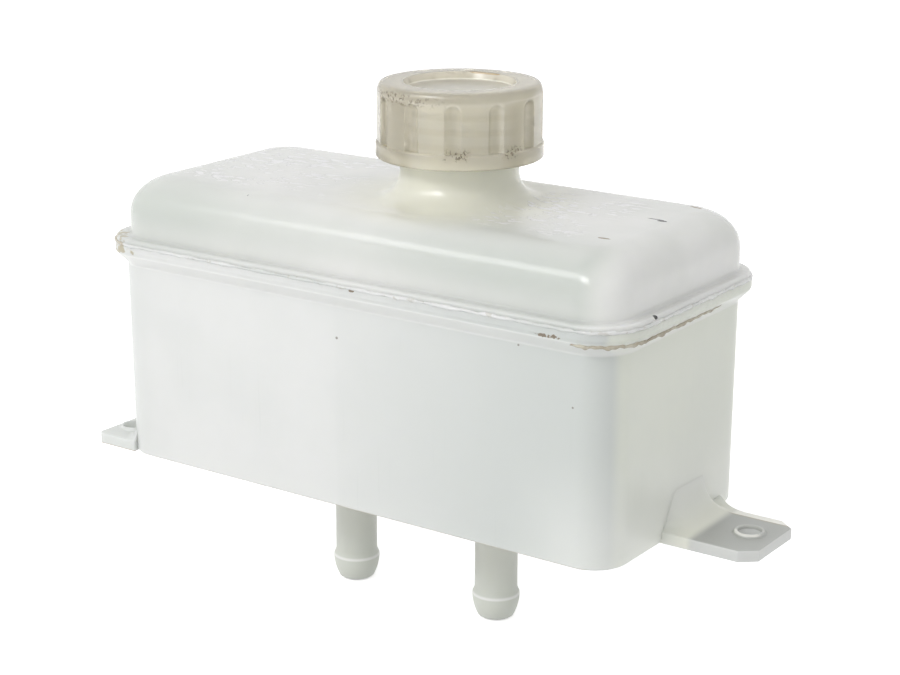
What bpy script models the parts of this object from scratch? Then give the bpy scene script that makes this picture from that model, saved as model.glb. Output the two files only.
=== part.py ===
"""Dual-chamber brake fluid reservoir: a drafted tub, a domed cover welded on it, and a fluted screw cap.

Frame: metres, +Z up, +X along the length towards the wide fixing ear. The origin is the centre
of the tub's underside, the face that lies on the bracket. The two hose spigots hang below it.

Each moulding is a profile of levels swept round the housing's plan outline. Round pieces are
turned profiles. Ears, partition, spigots and neck are joined to their moulding by Booleans.
"""

import math

import bpy
import bmesh

MM = 0.001
AIR = 0.3 * MM                       # gap kept between pieces that seat on each other
BITE = 0.15 * MM                     # how far a fused shape reaches past the surface it grows from

# Plan outline of the housing at the floor
HOUSING_LENGTH = 163.4 * MM
HOUSING_WIDTH = 72.3 * MM
CORNER_RADIUS = 10.0 * MM
CORNER_STEPS = 8
ARC_STEPS = 5

# Tub, the lower moulding
TUB_HEIGHT = 59.4 * MM               # underside to the flange's underside
TUB_DRAFT = 0.3 * MM                 # how far each wall leans out over that height
TUB_WALL = 2.5 * MM
FLOOR_THICKNESS = 2.5 * MM
FLOOR_EDGE_RADIUS = 0.9 * MM
FLOOR_INNER_RADIUS = 1.5 * MM
FLANGE_OVERHANG = 3.4 * MM
TUB_FLANGE_THICKNESS = 3.4 * MM
FLANGE_EDGE_RADIUS = 1.1 * MM
FLANGE_TAPER = 2.8 * MM               # its underside slopes down this far to the wall

# Partition between the two chambers
PARTITION_X = -1.4 * MM
PARTITION_THICKNESS = 2.0 * MM
PARTITION_HEIGHT = 50.0 * MM         # top edge above the tub's underside

# Cover, the upper moulding
COVER_WALL = 2.2 * MM
COVER_FLANGE_THICKNESS = 1.5 * MM
COVER_FLANGE_STEP = 0.4 * MM         # its flange ends this much inside the tub's
COVER_RISE = 16.4 * MM               # flange's top face to the cover's flat top
COVER_REAR_INSET = 1.6 * MM          # the dome's far end stands this much inside the tub's end wall
COVER_EDGE_RADIUS = 10.5 * MM
COVER_TOP_CORNER_RADIUS = 6.0 * MM   # plan corner of the flat top
COVER_ARC_STEPS = 8

# Filler neck
NECK_X = 12.0 * MM
NECK_WALL = 2.5 * MM
NECK_HEIGHT = 25.4 * MM              # flat top to the lip
NECK_FLARE_RADIUS = 7.5 * MM
NECK_LIP_CHAMFER = 0.6 * MM
NECK_STEPS = 48

# Cap seal
SEAL_THICKNESS = 1.5 * MM
SEAL_INNER_STEP = 0.5 * MM           # its hole is this much smaller than the neck's bore
SEAL_OUTER_CLEARANCE = 0.5 * MM      # to the cap's bore

# Screw cap
CAP_RADIUS = 22.5 * MM
CAP_HEIGHT = 19.9 * MM
CAP_WALL = 4.0 * MM                  # band to bore
THREAD_ROOM = 2.5 * MM               # bore to the neck, taken up by the two threads
CAP_BAND_HEIGHT = 4.2 * MM
CAP_BAND_STEP = 0.4 * MM             # the fluted wall stands this much inside the band
CAP_BAND_CHAMFER = 0.5 * MM
CAP_EDGE_WIDTH = 1.4 * MM            # rounded top edge, across
CAP_EDGE_HEIGHT = 3.0 * MM           # and down
CAP_ROOF = 3.8 * MM                  # over the seal
CAP_RIM_WIDTH = 7.6 * MM             # outside to the round recess in the top
CAP_RECESS_DEPTH = 2.0 * MM
CAP_RECESS_DRAFT = 0.5 * MM
CAP_STEPS = 72
FLUTE_COUNT = 12
FLUTE_RADIUS = 2.5 * MM
FLUTE_DEPTH = 1.3 * MM
FLUTE_TOP_MARGIN = 2.6 * MM          # cap's top face to the round end of a flute
FLUTE_FIRST_ANGLE = math.radians(0.0)
FLUTE_STEPS = 16

# Hose spigots under the two chambers
SPIGOT_SPACING = 49.1 * MM
SPIGOT_CENTRE_X = 0.45 * MM
SPIGOT_LENGTH = 37.5 * MM
SPIGOT_RADIUS = 6.0 * MM
SPIGOT_BORE_RADIUS = 4.0 * MM
SPIGOT_ROOT_RADIUS = 1.5 * MM
BEAD_RADIUS = 6.7 * MM
BEAD_HEIGHT = 6.9 * MM               # widest line of the bead above the tip
BEAD_RISE = 1.6 * MM                 # slope from the shaft out to that line
TIP_RADIUS = 4.9 * MM
SPIGOT_STEPS = 28

# Fixing ears, flush with the tub's underside
EAR_THICKNESS = 3.2 * MM
EAR_WIDTH = 25.4 * MM
EAR_CENTRE_Y = 4.0 * MM
EAR_REACH = 26.2 * MM                # end wall to the ear's end
EAR_CHAMFER_LENGTH = 4.3 * MM
EAR_CHAMFER_WIDTH = 3.5 * MM
EAR_ROOT_RADIUS = 9.5 * MM
EAR_HOLE_INSET = 7.4 * MM            # ear's end to the hole's centre
LUG_WIDTH = 23.0 * MM
LUG_REACH = 10.2 * MM
LUG_SIDE_INSET = 0.4 * MM            # front wall to the lug's front edge
LUG_CHAMFER = 1.2 * MM
LUG_ROOT_RADIUS = 3.0 * MM
LUG_HOLE_INSET = 5.6 * MM
LUG_HOLE_SIDE = 9.6 * MM             # lug's front edge to the hole's centre
FIXING_HOLE_RADIUS = 3.15 * MM
EYELET_RADIUS = 4.2 * MM             # raised rim round each hole
EYELET_HEIGHT = 0.9 * MM
HOLE_STEPS = 24

# Places that follow from the sizes above
HALF_LENGTH = HOUSING_LENGTH / 2
HALF_WIDTH = HOUSING_WIDTH / 2
CAP_BORE_RADIUS = CAP_RADIUS - CAP_WALL
NECK_RADIUS = CAP_BORE_RADIUS - THREAD_ROOM
CAP_RECESS_RADIUS = CAP_RADIUS - CAP_RIM_WIDTH
TUB_TOP_Z = TUB_HEIGHT + TUB_FLANGE_THICKNESS
COVER_BASE_Z = TUB_TOP_Z + AIR
COVER_FLANGE_Z = COVER_BASE_Z + COVER_FLANGE_THICKNESS
COVER_TOP_Z = COVER_FLANGE_Z + COVER_RISE
LIP_Z = COVER_TOP_Z + NECK_HEIGHT
SEAL_Z = LIP_Z + AIR
CAP_CEILING_Z = SEAL_Z + SEAL_THICKNESS + AIR
CAP_TOP_Z = CAP_CEILING_Z + CAP_ROOF
CAP_BASE_Z = CAP_TOP_Z - CAP_HEIGHT
SPIGOT_XS = (SPIGOT_CENTRE_X - SPIGOT_SPACING / 2, SPIGOT_CENTRE_X + SPIGOT_SPACING / 2)
EAR_HOLE = (HALF_LENGTH + EAR_REACH - EAR_HOLE_INSET, EAR_CENTRE_Y)
LUG_FRONT_Y = -HALF_WIDTH + LUG_SIDE_INSET
LUG_HOLE = (-HALF_LENGTH - LUG_REACH + LUG_HOLE_INSET, LUG_FRONT_Y + LUG_HOLE_SIDE)


def clear_scene():
    """Removes every object that the scene starts with."""
    for thing in list(bpy.data.objects):
        bpy.data.objects.remove(thing, do_unlink=True)


def plastic(name, colour, roughness):
    """A Principled material of one colour."""
    material = bpy.data.materials.new(name)
    material.use_nodes = True
    shader = material.node_tree.nodes["Principled BSDF"]
    shader.inputs["Base Color"].default_value = (*colour, 1.0)
    shader.inputs["Roughness"].default_value = roughness
    shader.inputs["Metallic"].default_value = 0.0
    return material


def finish_mesh(bm, name, location=(0.0, 0.0, 0.0)):
    """Turns a bmesh into a named object with its faces pointing out."""
    bmesh.ops.recalc_face_normals(bm, faces=bm.faces)
    mesh = bpy.data.meshes.new(name)
    bm.to_mesh(mesh)
    bm.free()
    piece = bpy.data.objects.new(name, mesh)
    piece.location = location
    bpy.context.scene.collection.objects.link(piece)
    return piece


def as_guide(piece):
    """Marks a shape that only cuts or joins."""
    piece.hide_render = True
    piece.display_type = "WIRE"
    return piece


def combine(target, guide, operation):
    """Adds one Boolean step with a guide shape."""
    step = target.modifiers.new(guide.name, "BOOLEAN")
    step.operation = operation
    step.object = as_guide(guide)
    step.solver = "EXACT"


def dress(piece, material):
    """Gives a finished piece its material and smooth shading with crisp edges."""
    piece.data.materials.append(material)
    piece.data.shade_smooth()
    piece.data.set_sharp_from_angle(angle=math.radians(35))


def lerp(a, b, t):
    """The value t of the way from a to b."""
    return a + (b - a) * t


def arc(centre, radius, start, end, steps):
    """Points on an arc in a profile's plane, angles in degrees, both ends included."""
    points = []
    for i in range(steps + 1):
        angle = math.radians(lerp(start, end, i / steps))
        points.append((centre[0] + radius * math.cos(angle), centre[1] + radius * math.sin(angle)))
    return points


def outline_ring(bm, offset, z, corner, rear_inset=0.0):
    """The housing's plan outline grown by offset, at height z, with the given corner radius.

    The rear inset draws the far end in by itself.
    """
    ring = []
    for k, (sx, sy) in enumerate(((1, 1), (-1, 1), (-1, -1), (1, -1))):
        cx = sx * (HALF_LENGTH + offset - corner) + (rear_inset if sx < 0 else 0.0)
        cy = sy * (HALF_WIDTH + offset - corner)
        for x, y in arc((cx, cy), corner, 90 * k, 90 * k + 90, CORNER_STEPS):
            ring.append(bm.verts.new((x, y, z)))
    return ring


def bridge(bm, lower, upper):
    """Joins two rings of as many points with quads."""
    count = len(lower)
    for i in range(count):
        j = (i + 1) % count
        bm.faces.new((lower[i], lower[j], upper[j], upper[i]))


def skin(bm, rings, closed):
    """Walls between neighbouring rings, with the last joined to the first or both ends capped flat."""
    for lower, upper in zip(rings, rings[1:]):
        bridge(bm, lower, upper)
    if closed:
        bridge(bm, rings[-1], rings[0])
    else:
        bm.faces.new(rings[0])
        bm.faces.new(rings[-1])


def swept_moulding(name, levels, closed=False):
    """A profile of (offset, z, corner radius) levels swept round the plan outline.

    A level may add a fourth value, its rear inset.
    """
    bm = bmesh.new()
    skin(bm, [outline_ring(bm, *level) for level in levels], closed)
    return finish_mesh(bm, name)


def turned(name, profile, steps, location=(0.0, 0.0, 0.0), closed=False):
    """A profile of (radius, z) points turned about a vertical axis."""
    bm = bmesh.new()
    turn = [2 * math.pi * i / steps for i in range(steps)]
    rings = [[bm.verts.new((r * math.cos(a), r * math.sin(a), z)) for a in turn] for r, z in profile]
    skin(bm, rings, closed)
    return finish_mesh(bm, name, location)


def prism(name, outline, low, high):
    """A plan outline drawn up from z low to z high."""
    bm = bmesh.new()
    base = bm.faces.new([bm.verts.new((x, y, low)) for x, y in outline])
    drawn = bmesh.ops.extrude_face_region(bm, geom=[base])["geom"]
    raised = [v for v in drawn if isinstance(v, bmesh.types.BMVert)]
    bmesh.ops.translate(bm, verts=raised, vec=(0, 0, high - low))
    return finish_mesh(bm, name)


def block(name, x_range, y_range, z_range):
    """A box between two limits on each axis."""
    outline = [(x_range[0], y_range[0]), (x_range[1], y_range[0]),
               (x_range[1], y_range[1]), (x_range[0], y_range[1])]
    return prism(name, outline, *z_range)


def tub_levels():
    """Floor, drafted wall and tapered flange on the outside, then wall and floor on the inside."""
    def level(offset, z):
        return offset, z, CORNER_RADIUS + offset

    edge = FLOOR_EDGE_RADIUS
    levels = [level(*p) for p in arc((-edge, edge), edge, -90, 0, ARC_STEPS)]
    rim = TUB_DRAFT + FLANGE_OVERHANG
    bend = FLANGE_EDGE_RADIUS
    levels.append(level(TUB_DRAFT, TUB_HEIGHT - FLANGE_TAPER))
    levels += [level(*p) for p in arc((rim - bend, TUB_HEIGHT + bend), bend, -45, 0, ARC_STEPS)]
    levels.append(level(rim, TUB_TOP_Z))
    levels.append(level(TUB_DRAFT - TUB_WALL, TUB_TOP_Z))
    inner = FLOOR_INNER_RADIUS
    centre = (-TUB_WALL - inner, FLOOR_THICKNESS + inner)
    levels += [level(*p) for p in arc(centre, inner, 0, -90, ARC_STEPS)]
    return levels


def cover_levels():
    """Flat top, big rounded edge, wall and flange on the outside, then the same on the inside."""
    wall = TUB_DRAFT
    inset = COVER_REAR_INSET
    outer = []
    inner = []
    for i in range(COVER_ARC_STEPS + 1):
        angle = math.radians(90 * i / COVER_ARC_STEPS)
        bent = 1 - math.cos(angle)
        rise = 1 - math.sin(angle)
        outer.append((wall - COVER_EDGE_RADIUS * bent, COVER_TOP_Z - COVER_EDGE_RADIUS * rise,
                      lerp(CORNER_RADIUS + wall, COVER_TOP_CORNER_RADIUS, bent), inset))
        small = COVER_EDGE_RADIUS - COVER_WALL
        inner.append((wall - COVER_WALL - small * bent, COVER_TOP_Z - COVER_WALL - small * rise,
                      lerp(CORNER_RADIUS + wall - COVER_WALL, COVER_TOP_CORNER_RADIUS, bent), inset))
    rim = wall + FLANGE_OVERHANG - COVER_FLANGE_STEP
    bend = FLANGE_EDGE_RADIUS
    levels = outer[::-1]
    levels.append((wall, COVER_FLANGE_Z, CORNER_RADIUS + wall, inset))
    for offset, z in arc((rim - bend, COVER_FLANGE_Z - bend), bend, 90, 0, ARC_STEPS):
        levels.append((offset, z, CORNER_RADIUS + offset))
    levels.append((rim, COVER_BASE_Z, CORNER_RADIUS + rim))
    levels.append((wall - COVER_WALL, COVER_BASE_Z, CORNER_RADIUS + wall - COVER_WALL, inset))
    return levels + inner


def ear_outline(root_x, end_x, low_y, high_y, chamfer_x, chamfer_y):
    """Plan of a fixing ear from inside the tub to its end, with both end corners cut off."""
    inward = math.copysign(chamfer_x, root_x - end_x)
    return [(root_x, low_y), (end_x + inward, low_y), (end_x, low_y + chamfer_y),
            (end_x, high_y - chamfer_y), (end_x + inward, high_y), (root_x, high_y)]


def add_ear(tub, name, outline, reach, root_radius):
    """Joins a flat ear to the tub, with a hollow root radius that follows the tub's wall.

    The ear's section is swept round the plan outline and cut to the ear's own outline.
    """
    sunk = -TUB_WALL / 2
    past = reach + EAR_THICKNESS
    section = [(sunk, 0), (past, 0), (past, EAR_THICKNESS)]
    section += arc((root_radius - BITE, EAR_THICKNESS + root_radius), root_radius, 270, 180, ARC_STEPS)
    section.append((sunk, EAR_THICKNESS + root_radius))
    ear = swept_moulding(name, [(offset, z, CORNER_RADIUS + offset) for offset, z in section], closed=True)
    bounds = prism(name + "_bounds", outline, -EAR_THICKNESS, EAR_THICKNESS + 2 * root_radius)
    combine(ear, bounds, "INTERSECT")
    combine(tub, ear, "UNION")


def add_fixing_hole(tub, name, centre):
    """A raised rim and a hole through it and the ear."""
    rim_top = EAR_THICKNESS + EYELET_HEIGHT
    rim = [(EYELET_RADIUS, EAR_THICKNESS / 2), (EYELET_RADIUS, EAR_THICKNESS),
           (EYELET_RADIUS - EYELET_HEIGHT / 2, rim_top)]
    hole = [(FIXING_HOLE_RADIUS, -EAR_THICKNESS), (FIXING_HOLE_RADIUS, 2 * rim_top)]
    combine(tub, turned(name + "_eyelet", rim, HOLE_STEPS, (*centre, 0)), "UNION")
    combine(tub, turned(name + "_hole", hole, HOLE_STEPS, (*centre, 0)), "DIFFERENCE")


def spigot_profile():
    """Outside of a hose spigot, from inside the floor down to its nose.

    The nose is an arc that is upright at the bead's widest line and ends at the tip.
    """
    bead_z = BEAD_HEIGHT - SPIGOT_LENGTH
    nose = BEAD_RADIUS - TIP_RADIUS
    bulge = (nose ** 2 + BEAD_HEIGHT ** 2) / (2 * nose)
    sweep = math.degrees(math.asin(BEAD_HEIGHT / bulge))
    root = SPIGOT_ROOT_RADIUS
    profile = [(SPIGOT_RADIUS + root, FLOOR_THICKNESS / 2)]
    profile += arc((SPIGOT_RADIUS + root, -root), root, 90, 180, ARC_STEPS)
    profile.append((SPIGOT_RADIUS, bead_z + BEAD_RISE))
    profile += arc((BEAD_RADIUS - bulge, bead_z), bulge, 0, -sweep, ARC_STEPS)
    return profile


def add_spigot(tub, name, x):
    """A hose spigot under one chamber, bored through the floor."""
    bore = [(SPIGOT_BORE_RADIUS, -SPIGOT_LENGTH - FLOOR_THICKNESS), (SPIGOT_BORE_RADIUS, FLOOR_THICKNESS * 2)]
    combine(tub, turned(name, spigot_profile(), SPIGOT_STEPS, (x, 0, 0)), "UNION")
    combine(tub, turned(name + "_bore", bore, SPIGOT_STEPS, (x, 0, 0)), "DIFFERENCE")


def make_tub(material):
    """The lower moulding: open box, partition, two ears and two spigots in one piece."""
    tub = swept_moulding("tub", tub_levels())
    half_gap = HALF_WIDTH - TUB_WALL / 2
    half_sheet = PARTITION_THICKNESS / 2
    partition = block("partition", (PARTITION_X - half_sheet, PARTITION_X + half_sheet),
                      (-half_gap, half_gap), (FLOOR_THICKNESS / 2, PARTITION_HEIGHT))
    combine(tub, partition, "UNION")

    low_y = EAR_CENTRE_Y - EAR_WIDTH / 2
    ear = ear_outline(HALF_LENGTH - TUB_WALL / 2, HALF_LENGTH + EAR_REACH, low_y, low_y + EAR_WIDTH,
                      EAR_CHAMFER_LENGTH, EAR_CHAMFER_WIDTH)
    add_ear(tub, "wide_ear", ear, EAR_REACH, EAR_ROOT_RADIUS)
    add_fixing_hole(tub, "wide_ear", EAR_HOLE)

    lug_root = -HALF_LENGTH + CORNER_RADIUS - 2 * LUG_SIDE_INSET
    lug = ear_outline(lug_root, -HALF_LENGTH - LUG_REACH, LUG_FRONT_Y, LUG_FRONT_Y + LUG_WIDTH,
                      LUG_CHAMFER, LUG_CHAMFER)
    add_ear(tub, "short_lug", lug, LUG_REACH, LUG_ROOT_RADIUS)
    add_fixing_hole(tub, "short_lug", LUG_HOLE)

    for side, x in zip(("rear", "front"), SPIGOT_XS):
        add_spigot(tub, side + "_spigot", x)
    dress(tub, material)


def neck_profiles():
    """Outside and inside of the neck, with concentric flares where it grows out of the flat top."""
    flat_half = HALF_WIDTH + TUB_DRAFT - COVER_EDGE_RADIUS
    flare = min(NECK_FLARE_RADIUS, flat_half - NECK_RADIUS)
    spring_z = COVER_TOP_Z + flare
    reach = NECK_RADIUS + flare
    sunk_z = COVER_TOP_Z - COVER_WALL / 2
    outside = [(reach, sunk_z)]
    outside += arc((reach, spring_z), flare, 270, 180, ARC_STEPS)
    outside += [(NECK_RADIUS, LIP_Z - NECK_LIP_CHAMFER), (NECK_RADIUS - NECK_LIP_CHAMFER, LIP_Z)]
    bore_radius = NECK_RADIUS - NECK_WALL
    inner_flare = flare + min(COVER_WALL, NECK_WALL)
    inner_reach = bore_radius + inner_flare
    ceiling_z = COVER_TOP_Z - COVER_WALL
    inside = [(inner_reach, COVER_TOP_Z - 2 * COVER_WALL)]
    inside += arc((inner_reach, ceiling_z + inner_flare), inner_flare, 270, 180, ARC_STEPS)
    inside.append((bore_radius, LIP_Z + NECK_WALL))
    return outside, inside


def make_cover(material):
    """The upper moulding: domed lid with its flange and the filler neck."""
    cover = swept_moulding("cover", cover_levels())
    outside, inside = neck_profiles()
    combine(cover, turned("neck", outside, NECK_STEPS, (NECK_X, 0, 0)), "UNION")
    combine(cover, turned("neck_bore", inside, NECK_STEPS, (NECK_X, 0, 0)), "DIFFERENCE")
    dress(cover, material)


def make_seal(material, hub):
    """The flat rubber ring between the neck's lip and the cap."""
    inner = NECK_RADIUS - NECK_WALL - SEAL_INNER_STEP
    outer = CAP_BORE_RADIUS - SEAL_OUTER_CLEARANCE
    low = SEAL_Z - LIP_Z
    profile = [(inner, low), (outer, low), (outer, low + SEAL_THICKNESS), (inner, low + SEAL_THICKNESS)]
    seal = turned("cap_seal", profile, NECK_STEPS, closed=True)
    seal.parent = hub
    dress(seal, material)


def cap_profile():
    """The cap's section, heights from the neck's lip: round the outside and back up the bore."""
    top = CAP_TOP_Z - LIP_Z
    base = CAP_BASE_Z - LIP_Z
    ceiling = CAP_CEILING_Z - LIP_Z
    wall = CAP_RADIUS - CAP_BAND_STEP
    recess = CAP_RECESS_RADIUS
    profile = [(recess - CAP_RECESS_DRAFT, top - CAP_RECESS_DEPTH), (recess, top)]
    for x, y in arc((0, 0), 1, 75, 0, ARC_STEPS):
        profile.append((wall - CAP_EDGE_WIDTH * (1 - x), top - CAP_EDGE_HEIGHT * (1 - y)))
    profile += [(wall, base + CAP_BAND_HEIGHT), (CAP_RADIUS, base + CAP_BAND_HEIGHT - CAP_BAND_STEP),
                (CAP_RADIUS, base + CAP_BAND_CHAMFER), (CAP_RADIUS - CAP_BAND_CHAMFER, base),
                (CAP_BORE_RADIUS, base), (CAP_BORE_RADIUS, ceiling)]
    return profile


def flute_profile():
    """A round-ended grip groove: a straight run with most of a half ball on top."""
    foot = CAP_BASE_Z - LIP_Z + CAP_BAND_HEIGHT
    crown = CAP_TOP_Z - LIP_Z - FLUTE_TOP_MARGIN
    return [(FLUTE_RADIUS, foot)] + arc((0, crown - FLUTE_RADIUS), FLUTE_RADIUS, 0, 75, ARC_STEPS)


def make_cap(material, hub):
    """The screw cap with its ring of flutes."""
    cap = turned("screw_cap", cap_profile(), CAP_STEPS)
    cap.parent = hub
    reach = CAP_RADIUS - CAP_BAND_STEP - FLUTE_DEPTH + FLUTE_RADIUS
    for i in range(FLUTE_COUNT):
        angle = FLUTE_FIRST_ANGLE + 2 * math.pi * i / FLUTE_COUNT
        place = (reach * math.cos(angle), reach * math.sin(angle), 0)
        flute = turned("flute_" + str(i + 1), flute_profile(), FLUTE_STEPS, place)
        flute.parent = hub
        combine(cap, flute, "DIFFERENCE")
    dress(cap, material)


def make_cap_axis():
    """An empty on the neck's axis at the lip: what turns and lifts hangs on it."""
    hub = bpy.data.objects.new("cap_axis", None)
    hub.location = (NECK_X, 0, LIP_Z)
    bpy.context.scene.collection.objects.link(hub)
    return hub


clear_scene()
tub_plastic = plastic("tub_plastic", (0.80, 0.82, 0.80), 0.38)
cover_plastic = plastic("cover_plastic", (0.84, 0.85, 0.83), 0.22)
cap_plastic = plastic("cap_plastic", (0.80, 0.77, 0.68), 0.30)
seal_rubber = plastic("seal_rubber", (0.03, 0.03, 0.03), 0.70)
cap_axis = make_cap_axis()
make_tub(tub_plastic)
make_cover(cover_plastic)
make_seal(seal_rubber, cap_axis)
make_cap(cap_plastic, cap_axis)
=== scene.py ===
"""Looks of the brake fluid reservoir: milky plastic mouldings, welded seam, fluted cap and its threads."""

import math

import bpy
import numpy as np
from mathutils import Matrix, Vector


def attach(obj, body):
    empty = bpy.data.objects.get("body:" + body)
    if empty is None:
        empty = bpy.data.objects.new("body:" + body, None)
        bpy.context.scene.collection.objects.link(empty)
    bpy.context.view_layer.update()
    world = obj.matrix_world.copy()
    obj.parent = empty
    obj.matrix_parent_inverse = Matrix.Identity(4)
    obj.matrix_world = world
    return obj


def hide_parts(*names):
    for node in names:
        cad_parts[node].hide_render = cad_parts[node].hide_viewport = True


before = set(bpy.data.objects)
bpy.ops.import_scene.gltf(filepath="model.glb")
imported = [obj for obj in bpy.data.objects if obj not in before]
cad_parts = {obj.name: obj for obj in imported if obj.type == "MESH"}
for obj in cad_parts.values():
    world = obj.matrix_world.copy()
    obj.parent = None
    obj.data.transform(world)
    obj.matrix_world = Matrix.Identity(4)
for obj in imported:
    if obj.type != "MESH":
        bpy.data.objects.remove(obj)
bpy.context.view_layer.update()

# Tub, the lower moulding.
# An open box of natural polypropylene, injection moulded with a drafted wall, a small floor edge
# radius and a tapered flange round its mouth, on which the cover is welded.
MM = 0.001  # the object's sizes are in millimetres, and skin_mesh turns them into metres
HALF_LENGTH = 81.7
HALF_WIDTH = 36.15
CORNER_RADIUS = 10.0
CORNER_POINTS = 18
LONG_SIDE_POINTS = 64
SHORT_SIDE_POINTS = 28
TUB_HEIGHT = 59.4
TUB_DRAFT = 0.3
TUB_WALL = 2.5
FLOOR_EDGE_RADIUS = 0.9
FLOOR_INNER_RADIUS = 1.5
FLANGE_OVERHANG = 3.4
TUB_FLANGE_THICKNESS = 3.4
FLANGE_EDGE_RADIUS = 1.1
FLANGE_TAPER = 2.8
FLANGE_LIP_RADIUS = 0.4
FLANGE_ROOT_RADIUS = 1.2
FLANGE_ROOT_RISE = 0.414 * FLANGE_ROOT_RADIUS
WALL_STEPS = 40
AIR = 0.3
TUB_TOP_Z = TUB_HEIGHT + TUB_FLANGE_THICKNESS
TUB_TINT = (0.760, 0.768, 0.750)
# The deep tint is both the clouding's darker tone and the colour of the painted shade.
TUB_SHADE_AND_CLOUD_TINT = (0.582, 0.612, 0.590)
END_TINT = (0.752, 0.778, 0.690)
LOW_TINT = (0.900, 0.910, 0.870)
FLANGE_UNDERSIDE_LIGHT_TINT = (0.960, 0.965, 0.940)
SCRATCH_TINT = (0.50, 0.53, 0.50)
STAIN_TINT = (0.48, 0.44, 0.33)
DIRT_TINT = (0.230, 0.185, 0.130)
SPECK_TINT = (0.30, 0.29, 0.26)
BOTTOM_EDGE_SHADE_TINT = (0.42, 0.33, 0.24)
# Patches of dirt: centre, reach, grain, and how much of the patch is covered.
TUB_STAINS = [((-82, -37, 61.6), (19, 10, 2.6), 520.0, 0.66)]
TUB_DIRT = [((65.5, -39.6, 60.8), (6.5, 2, 1), 900, 0.55), ((5.6, -39.2, 62.5), (1.3, 2, 0.55), 700, 1.2)]
TUB_SPECKS = [((-2, -36.4, 47.7), (0.55, 1.5, 0.5), 300, 1.4),
              ((71, -36.4, 42.5), (0.4, 1.5, 0.35), 300, 1.4), ((55, -36.4, 55.8), (0.4, 1.5, 0.4), 300, 1.4)]


def arc_points(centre, radius, start, end, steps):
    """Points at equal angles on a circle in a section's (offset, z) plane, degrees, both ends kept."""
    angle = np.radians(np.linspace(start, end, steps + 1))
    return np.stack([centre[0] + radius * np.cos(angle), centre[1] + radius * np.sin(angle)], -1)


def run_points(start, end, steps):
    """Equal steps along a straight line between two section points, without its two ends."""
    share = np.linspace(0, 1, steps + 1)[1:-1, None]
    return np.asarray(start) * (1 - share) + np.asarray(end) * share


def plan_rings(offset, z, corner, rear_inset=0.0):
    """Rounded rectangles, one for each level: four quarter circles of the corner radius about
    centres at half size + offset - corner, joined by straight runs, with the far end drawn in by the
    rear inset. Returns (levels, around, 3)."""
    offset, z, corner = (np.asarray(a, float)[:, None] for a in (offset, z, corner))
    quarter = np.linspace(0, math.pi / 2, CORNER_POINTS)[None]
    corners = []
    for k, (sx, sy) in enumerate(((1, 1), (-1, 1), (-1, -1), (1, -1))):
        angle = quarter + k * math.pi / 2
        x = sx * (HALF_LENGTH + offset - corner) + (rear_inset if sx < 0 else 0.0) + corner * np.cos(angle)
        y = sy * (HALF_WIDTH + offset - corner) + corner * np.sin(angle)
        corners.append(np.stack([x, y, np.broadcast_to(z, x.shape)], -1))
    around = []
    for k in range(4):
        count = LONG_SIDE_POINTS if k % 2 == 0 else SHORT_SIDE_POINTS
        share = np.linspace(0, 1, count + 1)[None, 1:-1, None]
        start, end = corners[k][:, -1:], corners[(k + 1) % 4][:, :1]
        around += [corners[k], start * (1 - share) + end * share]
    return np.concatenate(around, 1)


def put(name, data):
    """A new object in the scene."""
    made = bpy.data.objects.new(name, data)
    bpy.context.scene.collection.objects.link(made)
    return made


def skin_mesh(name, rings, loop=False):
    """A mesh in metres over a grid of points (rings, around) in millimetres: quads between neighbours,
    closed around. The last ring meets the first where loop is set, and else both end rings are closed
    flat."""
    count, around = rings.shape[:2]
    index = np.arange(count * around).reshape(count, around)
    right = np.roll(index, -1, 1)
    up, up_right = np.roll(index, -1, 0), np.roll(right, -1, 0)
    quads = np.stack([index, right, up_right, up], -1)
    faces = quads[:count if loop else count - 1].reshape(-1, 4).tolist()
    if not loop:
        faces += [index[0, ::-1].tolist(), index[-1].tolist()]
    mesh = bpy.data.meshes.new(name)
    mesh.from_pydata((rings * MM).reshape(-1, 3).tolist(), [], faces)
    mesh.update()
    return put(name, mesh)


def face_outwards(piece):
    """Turns a closed surface right side out: its signed volume, the sum of corner triple products
    over the faces, comes out positive."""
    mesh = piece.data
    mesh.calc_loop_triangles()
    corners = np.zeros(len(mesh.loop_triangles) * 3, int)
    mesh.loop_triangles.foreach_get("vertices", corners)
    points = np.zeros(len(mesh.vertices) * 3)
    mesh.vertices.foreach_get("co", points)
    a, b, c = points.reshape(-1, 3)[corners.reshape(-1, 3)].transpose(1, 0, 2)
    if np.einsum("ij,ij->i", a, np.cross(b, c)).sum() < 0:
        mesh.flip_normals()


def finish_piece(piece, material, body, sharp=40):
    """Right side out, smooth with crisp edges past the given angle, painted, and riding on its body."""
    face_outwards(piece)
    piece.data.shade_smooth()
    piece.data.set_sharp_from_angle(angle=math.radians(sharp))
    piece.data.materials.append(material)
    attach(piece, body)
    return piece


def new_group(name, inputs, outputs):
    """An empty shader node group with its sockets, each a (name, type, value) or (name, type)."""
    group = bpy.data.node_groups.new(name, "ShaderNodeTree")
    for way, sockets in (("INPUT", inputs), ("OUTPUT", outputs)):
        for label, kind, *value in sockets:
            made = group.interface.new_socket(label, in_out=way, socket_type="NodeSocket" + kind)
            if value:
                made.default_value = value[0]
    return group, group.nodes.new("NodeGroupInput"), group.nodes.new("NodeGroupOutput")


def feed(socket, source):
    """Links an output socket, or sets a plain value. A colour of three numbers is made opaque."""
    if isinstance(source, bpy.types.NodeSocket):
        socket.id_data.links.new(source, socket)
    else:
        socket.default_value = (*source, 1.0) if socket.type == "RGBA" else source


def new_node(kind, *sources):
    """A node in the shader tree that the sources' sockets belong to."""
    tree = next(source.id_data for source in sources if isinstance(source, bpy.types.NodeSocket))
    return tree.nodes.new("ShaderNode" + kind)


def calc(operation, a, b=0.0, clamp=False):
    """One Math node."""
    node = new_node("Math", a, b)
    node.operation = operation
    node.use_clamp = clamp
    feed(node.inputs[0], a)
    feed(node.inputs[1], b)
    return node.outputs[0]


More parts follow.
